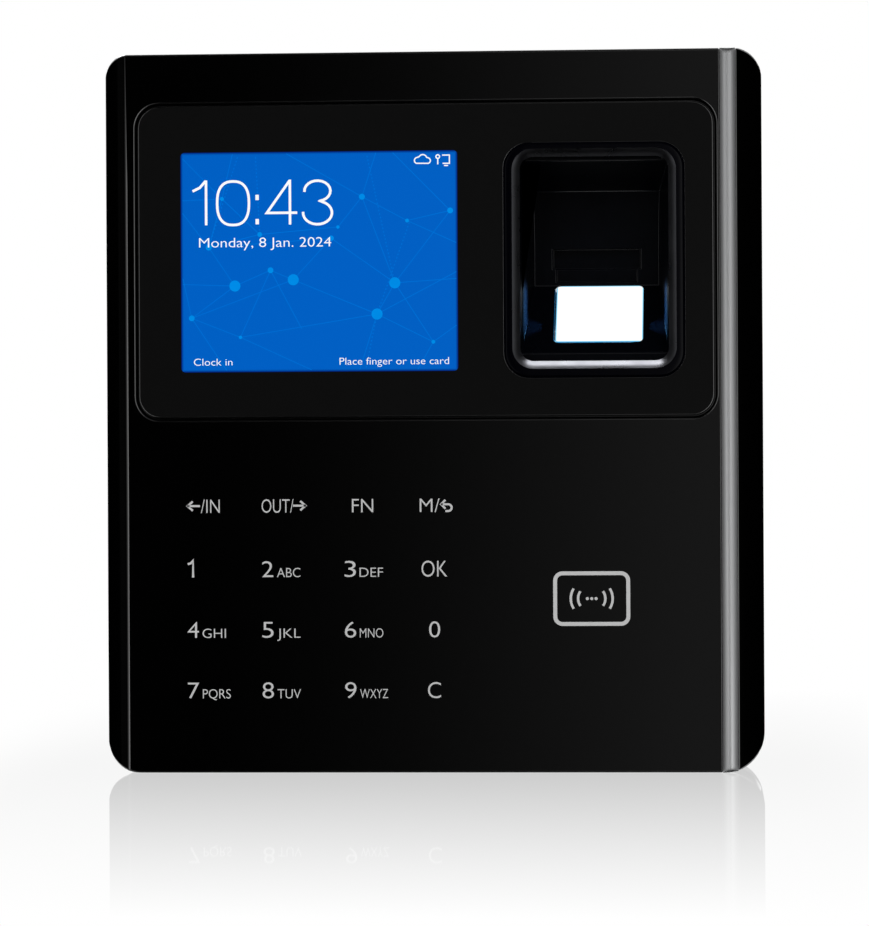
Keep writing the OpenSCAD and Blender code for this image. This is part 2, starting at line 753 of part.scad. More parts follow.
module sensor_led_board() color([0.1, 0.35, 0.2]) {
    span(around(bay_x, 10.5), [-27.5, -14.5], [led_board_z - board_t, led_board_z]);
    for (x = [-5, 0, 5], y = [-24, -18])
        span(around(bay_x + x, 1), around(y, 0.8), [led_board_z, led_board_z + 0.7]);
}

module sensor_camera() color([0.06, 0.06, 0.07]) {
    span(around(bay_x, 9.8), [camera_board_y, camera_board_y + board_t], [11, 27]);
    span(around(bay_x, 6), [camera_board_y - 1.8, camera_board_y], around(camera_z, 6));
    bar_y(bay_x, camera_z, 4.2, camera_board_y - 4.4, camera_board_y - 1.8);
}

module sensor_cable() color([0.85, 0.85, 0.8])
    ribbon([[camera_board_y + board_t / 2, 11], [camera_board_y + board_t / 2, 8], [-11.5, 5.5],
        [pcb_back_y + 1.2, 4.5], [pcb_back_y + 1.2, 1.5]], 0.6, bay_x - 4, bay_x + 4);

module sensor_screws() color("silver") for (s = [-1, 1], dz = sensor_screw_dz)
    screw_y(bay_x + s * sensor_screw_dx, bay_z + dz, small_screw, sensor_screw_l,
        sensor_ear_y + sensor_ear_t, 1);

// ---- Main board ----

module main_board() color([0.03, 0.25, 0.12]) difference() {
    span([pcb_box[0], pcb_box[1]], [pcb_y, pcb_back_y], [pcb_box[2], pcb_box[3]]);
    for (p = board_screw_at)
        bar_y(p[0], p[1], board_screw[0] + screw_clearance, pcb_y - bite, pcb_back_y + bite);
}

// Sockets for the display, keypad and card reader on the front, and for the sensor and speaker on the back
module board_connectors() color([0.9, 0.9, 0.86]) {
    span([-34, -12], [pcb_y - 2, pcb_y], [-6, -2]);
    span([-49, -37], [pcb_y - 2, pcb_y], [-22, -18]);
    span([30, 36], [pcb_y - 3, pcb_y], [-33, -29]);
    span(around(bay_x, 6), [pcb_back_y, pcb_back_y + 2.4], [-2.5, 1.5]);
    span(around(speaker_at[0], 3), [pcb_back_y, pcb_back_y + 3], [-2.5, 1.5]);
}

module processor() color([0.08, 0.08, 0.08])
    span([-14, 4], [pcb_y - 1.4, pcb_y], [-44, -26]);

module memory_chips() color([0.08, 0.08, 0.08]) for (x = [9, 20])
    span([x, x + 8], [pcb_y - 1, pcb_y], [-42, -28]);

module board_screws() color("silver") for (p = board_screw_at)
    screw_y(p[0], p[1], board_screw, board_screw_l, pcb_y, -1);

module lock_relay() color([0.15, 0.35, 0.75])
    span([38, 53], [pcb_y - 10.5, pcb_y], [-46, -27]);

// The middle of way i in the terminal block at x
function way_x(x, i) = x + (i - (block_ways - 1) / 2) * block_pitch;

module terminal_blocks() color([0.15, 0.55, 0.25]) for (x = block_x) difference() {
    span(around(x, block_w / 2), [pcb_back_y, block_back_y], block_z);
    for (i = [0 : block_ways - 1]) {
        span(around(way_x(x, i), way_half_w), [block_back_y - way_depth, block_back_y + bite], way_z);
        bar_z(way_x(x, i), way_screw_y, way_bore_r, block_z[0] - bite, block_z[0] + way_bore_d);
    }
}

module terminal_screws() color("silver") for (x = block_x, i = [0 : block_ways - 1]) difference() {
    bar_z(way_x(x, i), way_screw_y, way_screw_r, block_z[0] + 0.4, block_z[0] + way_bore_d);
    span(around(way_x(x, i), 1.5), around(way_screw_y, 0.3), [block_z[0], block_z[0] + 1]);
}

module ethernet_jack() color([0.75, 0.76, 0.78]) difference() {
    span([jack_box[0], jack_box[1]], [pcb_back_y, jack_back_y], [jack_box[2], jack_box[3]]);
    translate([(jack_box[0] + jack_box[1]) / 2, 0, (jack_box[2] + jack_box[3]) / 2 - jack_mouth_drop]) {
        mouth_z = around(0, jack_mouth[1] / 2);
        span(around(0, jack_mouth[0] / 2), [pcb_back_y + 1, jack_back_y + bite], mouth_z);
        span(around(0, jack_latch_half_w), [pcb_back_y + 5, jack_back_y + bite],
            [mouth_z[0] - jack_latch_d, 0]);
    }
}

module usb_port() color([0.78, 0.79, 0.8]) {
    difference() {
        span([usb_front_x, usb_front_x + 14], [pcb_y - usb_t, pcb_y], around(usb_z, usb_w / 2));
        span([usb_front_x - bite, usb_front_x + 11], grown([pcb_y - usb_t, pcb_y], -0.8),
            around(usb_z, usb_w / 2 - 0.4));
    }
    span([usb_front_x + 0.6, usb_front_x + 12], [pcb_y - 2.8, pcb_y - 1.2], around(usb_z, 5.5));
}

// The flap, its knuckle and the rib along its free edge
module usb_flap() color([0.05, 0.05, 0.055]) difference() {
    union() {
        span([-half_w, -half_w + flap_t], [flap_y[0], flap_pin_y], flap_z);
        bar_z(flap_pin_x, flap_pin_y, knuckle_r, flap_z[0], flap_z[1]);
        span([-half_w + flap_t - 0.1, flap_floor_x - 0.05], [flap_y[0] + 1, flap_rib_y], grown(flap_z, -2));
    }
    bar_z(flap_pin_x, flap_pin_y, flap_pin_r + flap_pin_fit, flap_z[0] - bite, flap_z[1] + bite);
}

module flap_pin() color("silver")
    bar_z(flap_pin_x, flap_pin_y, flap_pin_r, flap_z[0] - 2.4, flap_z[1] + 2.4);

// ---- Speaker and clock battery ----

module speaker() color([0.15, 0.15, 0.16]) {
    bar_y(speaker_at[0], speaker_at[1], speaker_r, speaker_y[1], speaker_y[2]);
    bar_y(speaker_at[0], speaker_at[1], speaker_magnet_r, speaker_y[0], speaker_y[1]);
}

module speaker_frame() color([0.1, 0.1, 0.1]) difference() {
    bar_y(speaker_at[0], speaker_at[1], speaker_r + speaker_ring_w, speaker_y[1] - 1, recess_wall_y);
    bar_y(speaker_at[0], speaker_at[1], speaker_r, speaker_y[1], recess_wall_y + bite);
    bar_y(speaker_at[0], speaker_at[1], speaker_r - speaker_ring_w, speaker_y[1] - 2, speaker_y[1] + 1);
}

module speaker_wires() color([0.7, 0.1, 0.1])
    ribbon([[-13, speaker_at[1] - 8], [-13, 8], [pcb_back_y + 1.5, 5], [pcb_back_y + 1.5, 1.5]], 1,
        speaker_at[0] - 1.2, speaker_at[0] + 1.2);

module cell_holder() color([0.08, 0.08, 0.08]) difference() {
    span(around(cell_at[0], cell_holder_half[0]), [pcb_y - cell_holder_t, pcb_y],
        around(cell_at[1], cell_holder_half[1]));
    bar_y(cell_at[0], cell_at[1], cell_r + cell_fit, pcb_y - cell_holder_t - bite, pcb_y - cell_lift);
}

module coin_cell() color("silver")
    bar_y(cell_at[0], cell_at[1], cell_r, pcb_y - cell_lift - cell_t, pcb_y - cell_lift);

// ---- Tamper switch: a sprung plunger that the wall keeps pressed ----

module tamper_switch() color([0.2, 0.2, 0.2]) difference() {
    inner_r = tamper_collar_r + switch_fit;
    bar_y(tamper_at[0], tamper_at[1], inner_r + switch_wall, pcb_back_y, -9);
    bar_y(tamper_at[0], tamper_at[1], inner_r, pcb_back_y + switch_floor_t, -8);
}

module tamper_plunger() color([0.85, 0.85, 0.85]) {
    bar_y(tamper_at[0], tamper_at[1], tamper_r, -13, -0.1);
    bar_y(tamper_at[0], tamper_at[1], tamper_collar_r, -9, recess_wall_y - 0.3);
}

// The spring stands between the switch's floor and the plunger's collar
module tamper_spring() color("silver")
    translate([tamper_at[0], pcb_back_y + switch_floor_t, tamper_at[1]]) rotate([-90, 0, 0])
        coil(tamper_r + spring_gap, spring_wire_r, spring_l, spring_turns);

// A point of a coil's skin: angle round the coil, angle round the wire, and height of the wire's middle
function coil_point(r, wire_r, turn, round, z) =
    [(r + wire_r * cos(round)) * cos(turn), (r + wire_r * cos(round)) * sin(turn), z + wire_r * sin(round)];

// A helix of round wire along Z: mean radius, wire radius, length and turns
module coil(r, wire_r, length, turns) {
    sides = 6;
    steps = turns * 14;
    rise = (length - 2 * wire_r) / steps;
    points = [for (i = [0 : steps], j = [0 : sides - 1])
        coil_point(r, wire_r, 360 * i * turns / steps, 360 * j / sides, wire_r + i * rise)];
    skin = [for (i = [0 : steps - 1], j = [0 : sides - 1]) let (k = (j + 1) % sides)
        [i * sides + j, (i + 1) * sides + j, (i + 1) * sides + k, i * sides + k]];
    first = [for (j = [0 : sides - 1]) j];
    last = [for (j = [0 : sides - 1]) steps * sides + sides - 1 - j];
    polyhedron(points, concat([first], skin, [last]));
}

// ---- Reset switch ----

module reset_switch() color([0.1, 0.1, 0.1]) difference() {
    span(reset_switch_x, [pcb_y - reset_switch_t, pcb_y], around(reset_z, 3));
    bar_x(reset_y, reset_z, reset_r + 0.3, reset_switch_x[0] - bite, -59.2);
}

module reset_button() color([0.85, 0.85, 0.82])
    bar_x(reset_y, reset_z, reset_r, reset_x[0], reset_x[1]);

front_cover();
display_lens();
lens_tape();
side_trim();
rear_shell();
housing_screws();
wall_plate();
lock_screw();
lcd_panel();
lcd_gasket();
lcd_bracket();
lcd_bracket_screws();
lcd_flex();
keypad_board();
keypad_flex();
rfid_antenna();
rfid_cable();
scanner_bezel();
sensor_housing();
sensor_prism();
sensor_led_board();
sensor_camera();
sensor_cable();
sensor_screws();
main_board();
board_connectors();
processor();
memory_chips();
board_screws();
lock_relay();
terminal_blocks();
terminal_screws();
ethernet_jack();
usb_port();
usb_flap();
flap_pin();
speaker();
speaker_frame();
speaker_wires();
cell_holder();
coin_cell();
tamper_switch();
tamper_plunger();
tamper_spring();
reset_switch();
reset_button();
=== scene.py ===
"""Looks for the fingerprint and card terminal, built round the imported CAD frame.

Metres, +Z up, the front faces -Y. Lengths inside the functions are in millimetres unless they say otherwise.
"""
import math

import bmesh
import bpy
from mathutils import Matrix, Vector


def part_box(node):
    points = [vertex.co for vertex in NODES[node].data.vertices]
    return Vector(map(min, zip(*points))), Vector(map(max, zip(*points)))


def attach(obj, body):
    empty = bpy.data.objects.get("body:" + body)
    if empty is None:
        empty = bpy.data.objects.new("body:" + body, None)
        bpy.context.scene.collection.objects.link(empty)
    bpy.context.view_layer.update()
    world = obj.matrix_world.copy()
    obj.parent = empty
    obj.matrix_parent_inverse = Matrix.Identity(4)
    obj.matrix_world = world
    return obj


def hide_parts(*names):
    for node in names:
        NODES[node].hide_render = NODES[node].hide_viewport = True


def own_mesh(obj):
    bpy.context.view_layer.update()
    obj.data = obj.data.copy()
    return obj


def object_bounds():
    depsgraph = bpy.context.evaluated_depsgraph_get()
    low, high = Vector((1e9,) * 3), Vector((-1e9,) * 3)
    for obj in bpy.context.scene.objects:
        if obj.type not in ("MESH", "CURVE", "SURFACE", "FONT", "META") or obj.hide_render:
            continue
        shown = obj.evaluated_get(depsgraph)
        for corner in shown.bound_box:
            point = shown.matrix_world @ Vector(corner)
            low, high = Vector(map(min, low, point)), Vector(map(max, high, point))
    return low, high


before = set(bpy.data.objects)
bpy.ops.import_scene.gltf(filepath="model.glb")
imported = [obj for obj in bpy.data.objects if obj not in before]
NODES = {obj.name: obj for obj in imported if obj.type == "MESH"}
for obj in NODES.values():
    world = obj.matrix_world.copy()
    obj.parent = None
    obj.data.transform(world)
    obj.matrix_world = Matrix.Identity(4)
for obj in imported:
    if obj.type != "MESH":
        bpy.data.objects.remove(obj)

CAD_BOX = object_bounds()
MM = 0.001
TERMINAL = "terminal"


def node_box(name):
    """A node's lowest and highest corners in millimetres."""
    low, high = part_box(name)
    return Vector(low) / MM, Vector(high) / MM


def srgb(r, g=None, b=None):
    """An sRGB colour of 0-255 values as linear RGBA."""
    g, b = (r, r) if g is None else (g, b)
    linear = [v / 255 / 12.92 if v <= 10 else ((v / 255 + 0.055) / 1.055) ** 2.4 for v in (r, g, b)]
    return tuple(linear) + (1.0,)


def place(name, data):
    """A new object in the scene from a mesh, a light, a camera or a curve."""
    obj = bpy.data.objects.new(name, data)
    bpy.context.scene.collection.objects.link(obj)
    return obj


# ---------------------------------------------------------------- camera

LENS_MM = 160.0
SENSOR_MM = 36.0
CAMERA_TARGET = Vector((0.8, -36.0, -10.5)) * MM
CAMERA_DISTANCE = 0.847
CAMERA_YAW = math.radians(3.8)
CAMERA_ROLL = math.radians(-0.3)


def add_camera():
    """A long lens level with the part, a little to its right."""
    data = bpy.data.cameras.new("camera")
    data.lens = LENS_MM
    data.sensor_width = SENSOR_MM
    data.dof.use_dof = False
    data.clip_start = 0.01
    cam = place("camera", data)
    away = Vector((math.sin(CAMERA_YAW), -math.cos(CAMERA_YAW), 0.0))
    cam.location = CAMERA_TARGET + CAMERA_DISTANCE * away
    look = (-away).to_track_quat("-Z", "Y").to_matrix().to_4x4()
    cam.matrix_world = Matrix.Translation(cam.location) @ look @ Matrix.Rotation(CAMERA_ROLL, 4, "Z")
    bpy.context.scene.camera = cam


# ---------------------------------------------------------------- node helpers

class Graph:
    """Short calls for building a node tree."""

    def __init__(self, tree):
        self.tree = tree

    def node(self, kind, **values):
        made = self.tree.nodes.new(kind)
        for key, value in values.items():
            setattr(made, key, value)
        return made

    def put(self, socket, value):
        if hasattr(value, "links"):
            self.tree.links.new(value, socket)
        elif value is not None:
            socket.default_value = value

    def math(self, kind, a, b=None, clamp=False):
        made = self.node("ShaderNodeMath", operation=kind, use_clamp=clamp)
        for socket, value in zip(made.inputs, (a, b)):
            self.put(socket, value)
        return made.outputs[0]

    def add(self, *values):
        total = values[0]
        for value in values[1:]:
            total = self.math("ADD", total, value)
        return total

    def times(self, a, b):
        return self.math("MULTIPLY", a, b)

    def minus(self, a, b):
        return self.math("SUBTRACT", a, b)

    def magnitude(self, value):
        return self.math("ABSOLUTE", value)

    def remap(self, value, low, high, to_low=0.0, to_high=1.0, smooth=False):
        made = self.node("ShaderNodeMapRange", interpolation_type="SMOOTHSTEP" if smooth else "LINEAR")
        for socket, item in zip(made.inputs, (value, low, high, to_low, to_high)):
            self.put(socket, item)
        return made.outputs[0]

    def coordinates(self, kind="Object"):
        return self.node("ShaderNodeTexCoord").outputs[kind]

    def axes(self, kind="Object"):
        """The x, y and z of a coordinate."""
        made = self.node("ShaderNodeSeparateXYZ")
        self.put(made.inputs[0], self.coordinates(kind))
        return made.outputs

    def noise(self, scale, detail, stretch=(1, 1, 1)):
        mapping = self.node("ShaderNodeMapping")
        mapping.inputs["Scale"].default_value = stretch
        self.put(mapping.inputs["Vector"], self.coordinates())
        made = self.node("ShaderNodeTexNoise")
        self.put(made.inputs["Vector"], mapping.outputs[0])
        made.inputs["Scale"].default_value = scale
        made.inputs["Detail"].default_value = detail
        return made.outputs["Fac"]

    def ramp(self, value, *stops):
        made = self.node("ShaderNodeValToRGB")
        items = made.color_ramp.elements
        while len(items) < len(stops):
            items.new(0.5)
        for item, (place, colour) in zip(items, stops):
            item.position = place
            item.color = colour
        self.put(made.inputs[0], value)
        return made.outputs[0]

    def inset(self, value, middle, half):
        """How far inside the range of half each side of middle a value lies."""
        return self.minus(half, self.magnitude(self.minus(value, middle)))


MATERIALS = {}


def new_graph(name):
    """A material with an empty node tree: the material, its graph and the output node."""
    mat = bpy.data.materials.new(name)
    mat.use_nodes = True
    mat.node_tree.nodes.clear()
    g = Graph(mat.node_tree)
    return mat, g, g.node("ShaderNodeOutputMaterial")


def around(value, spread):
    """A value's lower and upper ends, spread by a share of itself and kept to at most 1."""
    return value * (1 - spread), min(1.0, value * (1 + spread))


def finish(name, colour, rough, metal=0.0, vary=0.12, rough_vary=0.15, grain=900.0,
           bump=0.0, bump_scale=4000.0, stretch=(1, 1, 1),
           specular=0.5, coat=0.0, transmission=0.0, ior=1.5):
    """A moulded, painted or metal finish. Colour and roughness vary with a soft noise; the bump is in mm."""
    mat, g, out = new_graph(name)
    shader = g.node("ShaderNodeBsdfPrincipled")
    dark, light = (tuple(c) + (1.0,) for c in zip(*(around(c, vary) for c in colour[:3])))
    g.put(shader.inputs["Base Color"], g.ramp(g.noise(grain, 4.0, stretch), (0.3, dark), (0.7, light)))
    patches = g.noise(grain * 0.23, 3.0, stretch)
    g.put(shader.inputs["Roughness"], g.remap(patches, 0.3, 0.7, *around(rough, rough_vary)))
    for socket, value in (("Metallic", metal), ("Specular IOR Level", specular), ("Coat Weight", coat),
                          ("Transmission Weight", transmission), ("IOR", ior)):
        shader.inputs[socket].default_value = value
    if bump:
        made = g.node("ShaderNodeBump")
        made.inputs["Strength"].default_value = 1.0
        made.inputs["Distance"].default_value = bump * MM
        g.put(made.inputs["Height"], g.noise(bump_scale, 2.0, stretch))
        g.put(shader.inputs["Normal"], made.outputs[0])
    g.put(out.inputs["Surface"], shader.outputs[0])
    MATERIALS[name] = mat


def glow(name, colour):
    """A lit surface whose brightness varies very slightly, as a backlight's does."""
    mat, g, out = new_graph(name)
    shader = g.node("ShaderNodeEmission")
    dim = tuple(c * 0.96 for c in colour[:3]) + (1.0,)
    g.put(shader.inputs["Color"], g.ramp(g.noise(300.0, 2.0), (0.35, dim), (0.65, colour)))
    g.put(out.inputs["Surface"], shader.outputs[0])
    MATERIALS[name] = mat


# ---------------------------------------------------------------- mesh helpers

def piece(mesh, mat, replaces=None):
    """A visible piece on the terminal, named after its mesh. It may take the place of one CAD node."""
    obj = place(mesh.name, mesh)
    mesh.materials.append(MATERIALS[mat])
    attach(obj, TERMINAL)
    if replaces:
        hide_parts(replaces)
    return obj


def smooth(mesh, degrees):
    """Smooth shading, with edges sharper than the angle kept sharp."""
    mesh.shade_smooth()
    mesh.set_sharp_from_angle(angle=math.radians(degrees))


def mesh_from(name, verts, faces, degrees):
    """A clean mesh from points in mm, with edges sharper than the angle kept sharp."""
    mesh = bpy.data.meshes.new(name)
    mesh.from_pydata([Vector(v) * MM for v in verts], [], faces)
    bm = bmesh.new()
    bm.from_mesh(mesh)
    bmesh.ops.remove_doubles(bm, verts=bm.verts, dist=1e-7)
    bmesh.ops.recalc_face_normals(bm, faces=bm.faces)
    bm.to_mesh(mesh)
    bm.free()
    smooth(mesh, degrees)
    return mesh


def rounded(x, z, w, h, r, steps=10):
    """Points (x, z) round a rectangle with rounded corners; the count depends only on steps."""
    points = []
    for sx, sz, start in ((1, 1, 0), (-1, 1, 90), (-1, -1, 180), (1, -1, 270)):
        for i in range(steps + 1):
            a = math.radians(start + 90 * i / steps)
            points.append((x + sx * (w / 2 - r) + r * math.cos(a), z + sz * (h / 2 - r) + r * math.sin(a)))
    return points


def loft(name, rings, degrees, ends=True):
    """Skins a list of rings of 3D points, all with the same count, and closes both ends."""
    count = len(rings[0])
    verts = [p for ring in rings for p in ring]
    faces = []
    for k in range(len(rings) - 1):
        for i in range(count):
            j = (i + 1) % count
            faces.append((k * count + i, k * count + j, (k + 1) * count + j, (k + 1) * count + i))
    if ends:
        faces.append(tuple(range(count))[::-1])
        faces.append(tuple((len(rings) - 1) * count + i for i in range(count)))
    return mesh_from(name, verts, faces, degrees)


def ring_at(outline, y):
    """An outline of (x, z) points at one depth."""
    return [(x, y, z) for x, z in outline]


# ---------------------------------------------------------------- materials

finish("cover_black", srgb(1), 0.06, vary=0.3, rough_vary=0.1, bump=0.0002, bump_scale=400.0)
finish("edge_black", srgb(2), 0.12, specular=1.0, ior=1.9)
finish("lens_black", srgb(16, 16, 16), 0.1, vary=0.03, specular=0.06)
finish("trim_silver", srgb(222, 223, 224), 0.4, metal=1.0, vary=0.02, stretch=(6, 6, 0.05), bump=0.0006)
finish("bezel_black", srgb(1, 1, 4), 0.12, vary=0.1, bump=0.0004, specular=0.12)
finish("bezel_chamfer", srgb(124, 125, 130), 0.3, metal=1.0, vary=0.03, bump=0.0001)
finish("bay_black", srgb(3, 4, 7), 0.3, vary=0.2, bump=0.0005, specular=0.05)
finish("bay_edge", srgb(3, 4, 8), 0.25, specular=0.4)
finish("shell_black", srgb(26, 26, 28), 0.5, vary=0.05, rough_vary=0.06, grain=2500.0,
       bump=0.012, bump_scale=3500.0)
finish("sheet_steel", srgb(196, 198, 203), 0.38, metal=1.0, vary=0.03, rough_vary=0.06, grain=1500.0,
       bump=0.0015)
finish("screw_steel", srgb(190, 192, 196), 0.28, metal=1.0, vary=0.05, bump=0.001)
finish("prism_glass", srgb(225, 240, 250), 0.03, specular=0.6, transmission=1.0, ior=1.52, vary=0.0)
finish("tape_black", srgb(26), 0.85, vary=0.2, bump=0.03, bump_scale=3000.0)
finish("lcd_glass", srgb(20, 30, 48), 0.12, vary=0.05)
finish("chip_black", srgb(30, 30, 32), 0.5, bump=0.008, bump_scale=6000.0)
finish("connector_cream", srgb(232, 228, 212), 0.5, vary=0.03, bump=0.004)
finish("flex_amber", srgb(190, 120, 44), 0.3, vary=0.06, coat=0.4)
finish("flex_white", srgb(226, 226, 222), 0.5, vary=0.03)
finish("wire_red", srgb(176, 20, 20), 0.45, vary=0.06)
finish("relay_blue", srgb(36, 92, 176), 0.4, vary=0.05, bump=0.006)
finish("terminal_green", srgb(40, 132, 62), 0.45, vary=0.05, bump=0.006)
finish("nickel_shield", srgb(205, 205, 202), 0.3, metal=1.0, vary=0.05, bump=0.002)
finish("speaker_black", srgb(34), 0.6, vary=0.15, bump=0.01)
finish("cell_steel", srgb(210, 210, 208), 0.22, metal=1.0, vary=0.03, bump=0.001)
finish("button_white", srgb(228, 228, 224), 0.4, vary=0.02)
finish("board_green", srgb(12, 84, 44), 0.35, vary=0.12, grain=250.0, coat=0.3)
finish("coil_blue", srgb(20, 44, 104), 0.35, vary=0.1, coat=0.3)
finish("contact_gold", srgb(222, 178, 86), 0.25, metal=1.0, vary=0.05)
finish("legend_grey", srgb(205), 0.45, vary=0.03)
glow("picture_white", srgb(255))
glow("picture_dots", srgb(0, 140, 232))
glow("picture_lines", srgb(0, 112, 212))

# ---------------------------------------------------------------- CAD nodes

# Material slot: the nodes that take it, each with the radius of its rounded edges in mm
SLOT_NODES = {
    "cover_black": {"front_cover": 0.35},
    "lens_black": {"display_lens": 0.25},
    "shell_black": {"rear_shell": 0.3, "usb_flap": 0.2},
    "sheet_steel": {"wall_plate": 0.2, "lcd_bracket": 0.15},
    "screw_steel": {"housing_screws": 0.15, "lock_screw": 0.15, "lcd_bracket_screws": 0.1,
                    "sensor_screws": 0.1, "board_screws": 0.12, "terminal_screws": 0.08, "flap_pin": 0.05},
    "bay_black": {"sensor_housing": 0.2},
    "prism_glass": {"sensor_prism": 0.1},
    "tape_black": {"lens_tape": 0.0, "lcd_gasket": 0.0},
    "lcd_glass": {"lcd_panel": 0.15},
    "board_green": {"keypad_board": 0.1, "sensor_led_board": 0.1, "main_board": 0.1},
    "coil_blue": {"rfid_antenna": 0.05},
    "chip_black": {"sensor_camera": 0.15, "processor": 0.1, "memory_chips": 0.1, "speaker_frame": 0.2,
                   "cell_holder": 0.2, "tamper_switch": 0.15, "reset_switch": 0.15},
    "connector_cream": {"board_connectors": 0.15},
    "flex_amber": {"lcd_flex": 0.0},
    "flex_white": {"keypad_flex": 0.0, "sensor_cable": 0.0},
    "wire_red": {"rfid_cable": 0.2, "speaker_wires": 0.2},
    "relay_blue": {"lock_relay": 0.4},
    "terminal_green": {"terminal_blocks": 0.2},
    "nickel_shield": {"ethernet_jack": 0.2, "usb_port": 0.15},
    "speaker_black": {"speaker": 0.3},
    "cell_steel": {"coin_cell": 0.4},
    "button_white": {"tamper_plunger": 0.2, "reset_button": 0.15},
}
# Nodes whose rounded edges take a brighter material
BRIGHT_EDGES = {"front_cover": "edge_black", "display_lens": "edge_black", "sensor_housing": "bay_edge"}


def dress(node, mat, bevel, edge=None):
    """Gives a CAD node its material, smooth shading and, where asked, rounded edges by modifiers."""
    obj = NODES[node]
    obj.data.materials.clear()
    obj.data.materials.append(MATERIALS[mat])
    weld = obj.modifiers.new("weld", "WELD")
    weld.merge_threshold = 1e-6
    if bevel:
        flat = obj.modifiers.new("flat", "DECIMATE")
        flat.decimate_type = "DISSOLVE"
        flat.angle_limit = math.radians(0.4)
        round_off = obj.modifiers.new("edges", "BEVEL")
        round_off.width = bevel * MM
        round_off.segments = 3
        round_off.limit_method = "ANGLE"
        round_off.angle_limit = math.radians(32)
        round_off.use_clamp_overlap = False
        if edge:
            obj.data.materials.append(MATERIALS[edge])
            round_off.material = 1
        round_off.miter_outer = "MITER_SHARP"
        even = obj.modifiers.new("normals", "WEIGHTED_NORMAL")
        even.mode = "FACE_AREA"
        even.weight = 100
        even.keep_sharp = False
    smooth(obj.data, 35)


for slot_name, members in SLOT_NODES.items():
    for node, radius in members.items():
        dress(node, slot_name, radius, BRIGHT_EDGES.get(node))

# ---------------------------------------------------------------- front of the terminal

FRONT_Y = node_box("display_lens")[0].y
# The middle of the fingerprint bay
BAY_X = 33.85
BAY_Z = 31.05
# The lit picture: its middle's x and z, its width and its height
PICTURE = (-22.85, 31.15, 57.3, 45.4)


def add_trim():
    """The silver strip: a shallow crown that rolls over at both ends, following the housing's corners."""
    x0, x1 = (corner.x for corner in node_box("side_trim"))
    half_w, _, half_h = node_box("front_cover")[1]
    crown, roll = 0.5, 1.2
    back_y = FRONT_Y + 1.15
    top_r, bottom_r = 5.5, 8.0
    across, along = 14, 10

    def end_z(x, r):
        over = max(0.0, x - (half_w - r))
        return half_h - r + math.sqrt(r * r - over * over)

    rows = []
    steps = [roll * (1 - math.cos(math.radians(90 * i / along))) for i in range(along + 1)]
    for sign, r, order in ((-1, bottom_r, steps), (1, top_r, steps[::-1])):
        for step in order:
            row = []
            for i in range(across + 1):
                u = 2 * i / across - 1
                x = x0 + (x1 - x0) * i / across
                height = crown * (1 - u * u) * math.sin(math.acos(max(0.0, 1 - step / roll)))
                row.append((x, FRONT_Y - height, sign * (end_z(x, r) - step)))
            rows.append(row)
    verts = [v for row in rows for v in row]
    n = across + 1
    faces = [(k * n + i, k * n + i + 1, (k + 1) * n + i + 1, (k + 1) * n + i)
             for k in range(len(rows) - 1) for i in range(across)]
    # The rim goes round the crown's edge, and the sides run back from it
    rim = [k * n for k in range(len(rows))] + [(len(rows) - 1) * n + i for i in range(1, n)]
    rim += [k * n + across for k in range(len(rows) - 2, -1, -1)] + list(range(across - 1, 0, -1))
    base = len(verts)
    verts += [(verts[i][0], back_y, verts[i][2]) for i in rim]
    count = len(rim)
    for i in range(count):
        j = (i + 1) % count
        faces.append((rim[i], rim[j], base + j, base + i))
    faces.append(tuple(base + i for i in range(count)))
    piece(mesh_from("trim_strip", verts, faces, 50), "trim_silver", "side_trim")


def add_bezel():
    """The bay's frame: a rounded outer edge, a flat band, a bright chamfer and the throat behind it."""
    front, back = (corner.y for corner in node_box("scanner_bezel"))
    w, h, r = 36.7, 47.8, 5.0
    flange, flange_t = 2.0, 1.0
    pad = back - flange_t
    # A shallow lip covers the gap to the lens
    lip, lip_low, lip_high = 0.3, 0.01, 0.06
    edge = 0.3
    # The opening, and how much higher it reaches than the CAD's
    bay_w, bay_h, bay_r = 30.5, 41.4, 2.7
    raised = 0.6
    chamfer, chamfer_depth, hollow = 1.6, 1.09, 0.11
    plate_t = 0.25

    def outer_ring(grow, corner, y):
        return ring_at(rounded(BAY_X, BAY_Z, w + 2 * grow, h + 2 * grow, corner), y)

    def bay_ring(grow, y):
        outline = rounded(BAY_X, BAY_Z + raised / 2, bay_w + 2 * grow, bay_h + raised + 2 * grow, bay_r + grow)
        return ring_at(outline, y)

    rings = [outer_ring(flange, r, y) for y in (back, pad)]
    rings += [outer_ring(0.0, r, y) for y in (pad, FRONT_Y)]
    rings += [outer_ring(lip, r + lip, FRONT_Y - y) for y in (lip_low, lip_high)]
    for angle in (15, 30, 45, 60, 75, 90):
        turn = math.radians(angle)
        inset = edge * (1 - math.cos(turn))
        rings.append(outer_ring(-inset, r - inset, front + edge * (1 - math.sin(turn))))
    under = [bay_ring(chamfer, front + plate_t), bay_ring(plate_t, front + chamfer_depth),
             bay_ring(0.0, front + chamfer_depth + plate_t)]
    rings += [bay_ring(chamfer, front)] + under + [bay_ring(0.0, back)]
    piece(loft("bay_frame", rings + rings[:1], 20, ends=False), "bezel_black", "scanner_bezel")

    # The bright chamfer is a thin plated ring of slightly hollow section
    steps = 5
    face = []
    for i in range(steps + 1):
        t = i / steps
        face.append(bay_ring(chamfer * (1 - t), front + chamfer_depth * t - hollow * math.sin(math.pi * t)))
    mesh = loft("bay_chamfer", face + under[::-1] + face[:1], 30, ends=False)
    piece(mesh, "bezel_chamfer")


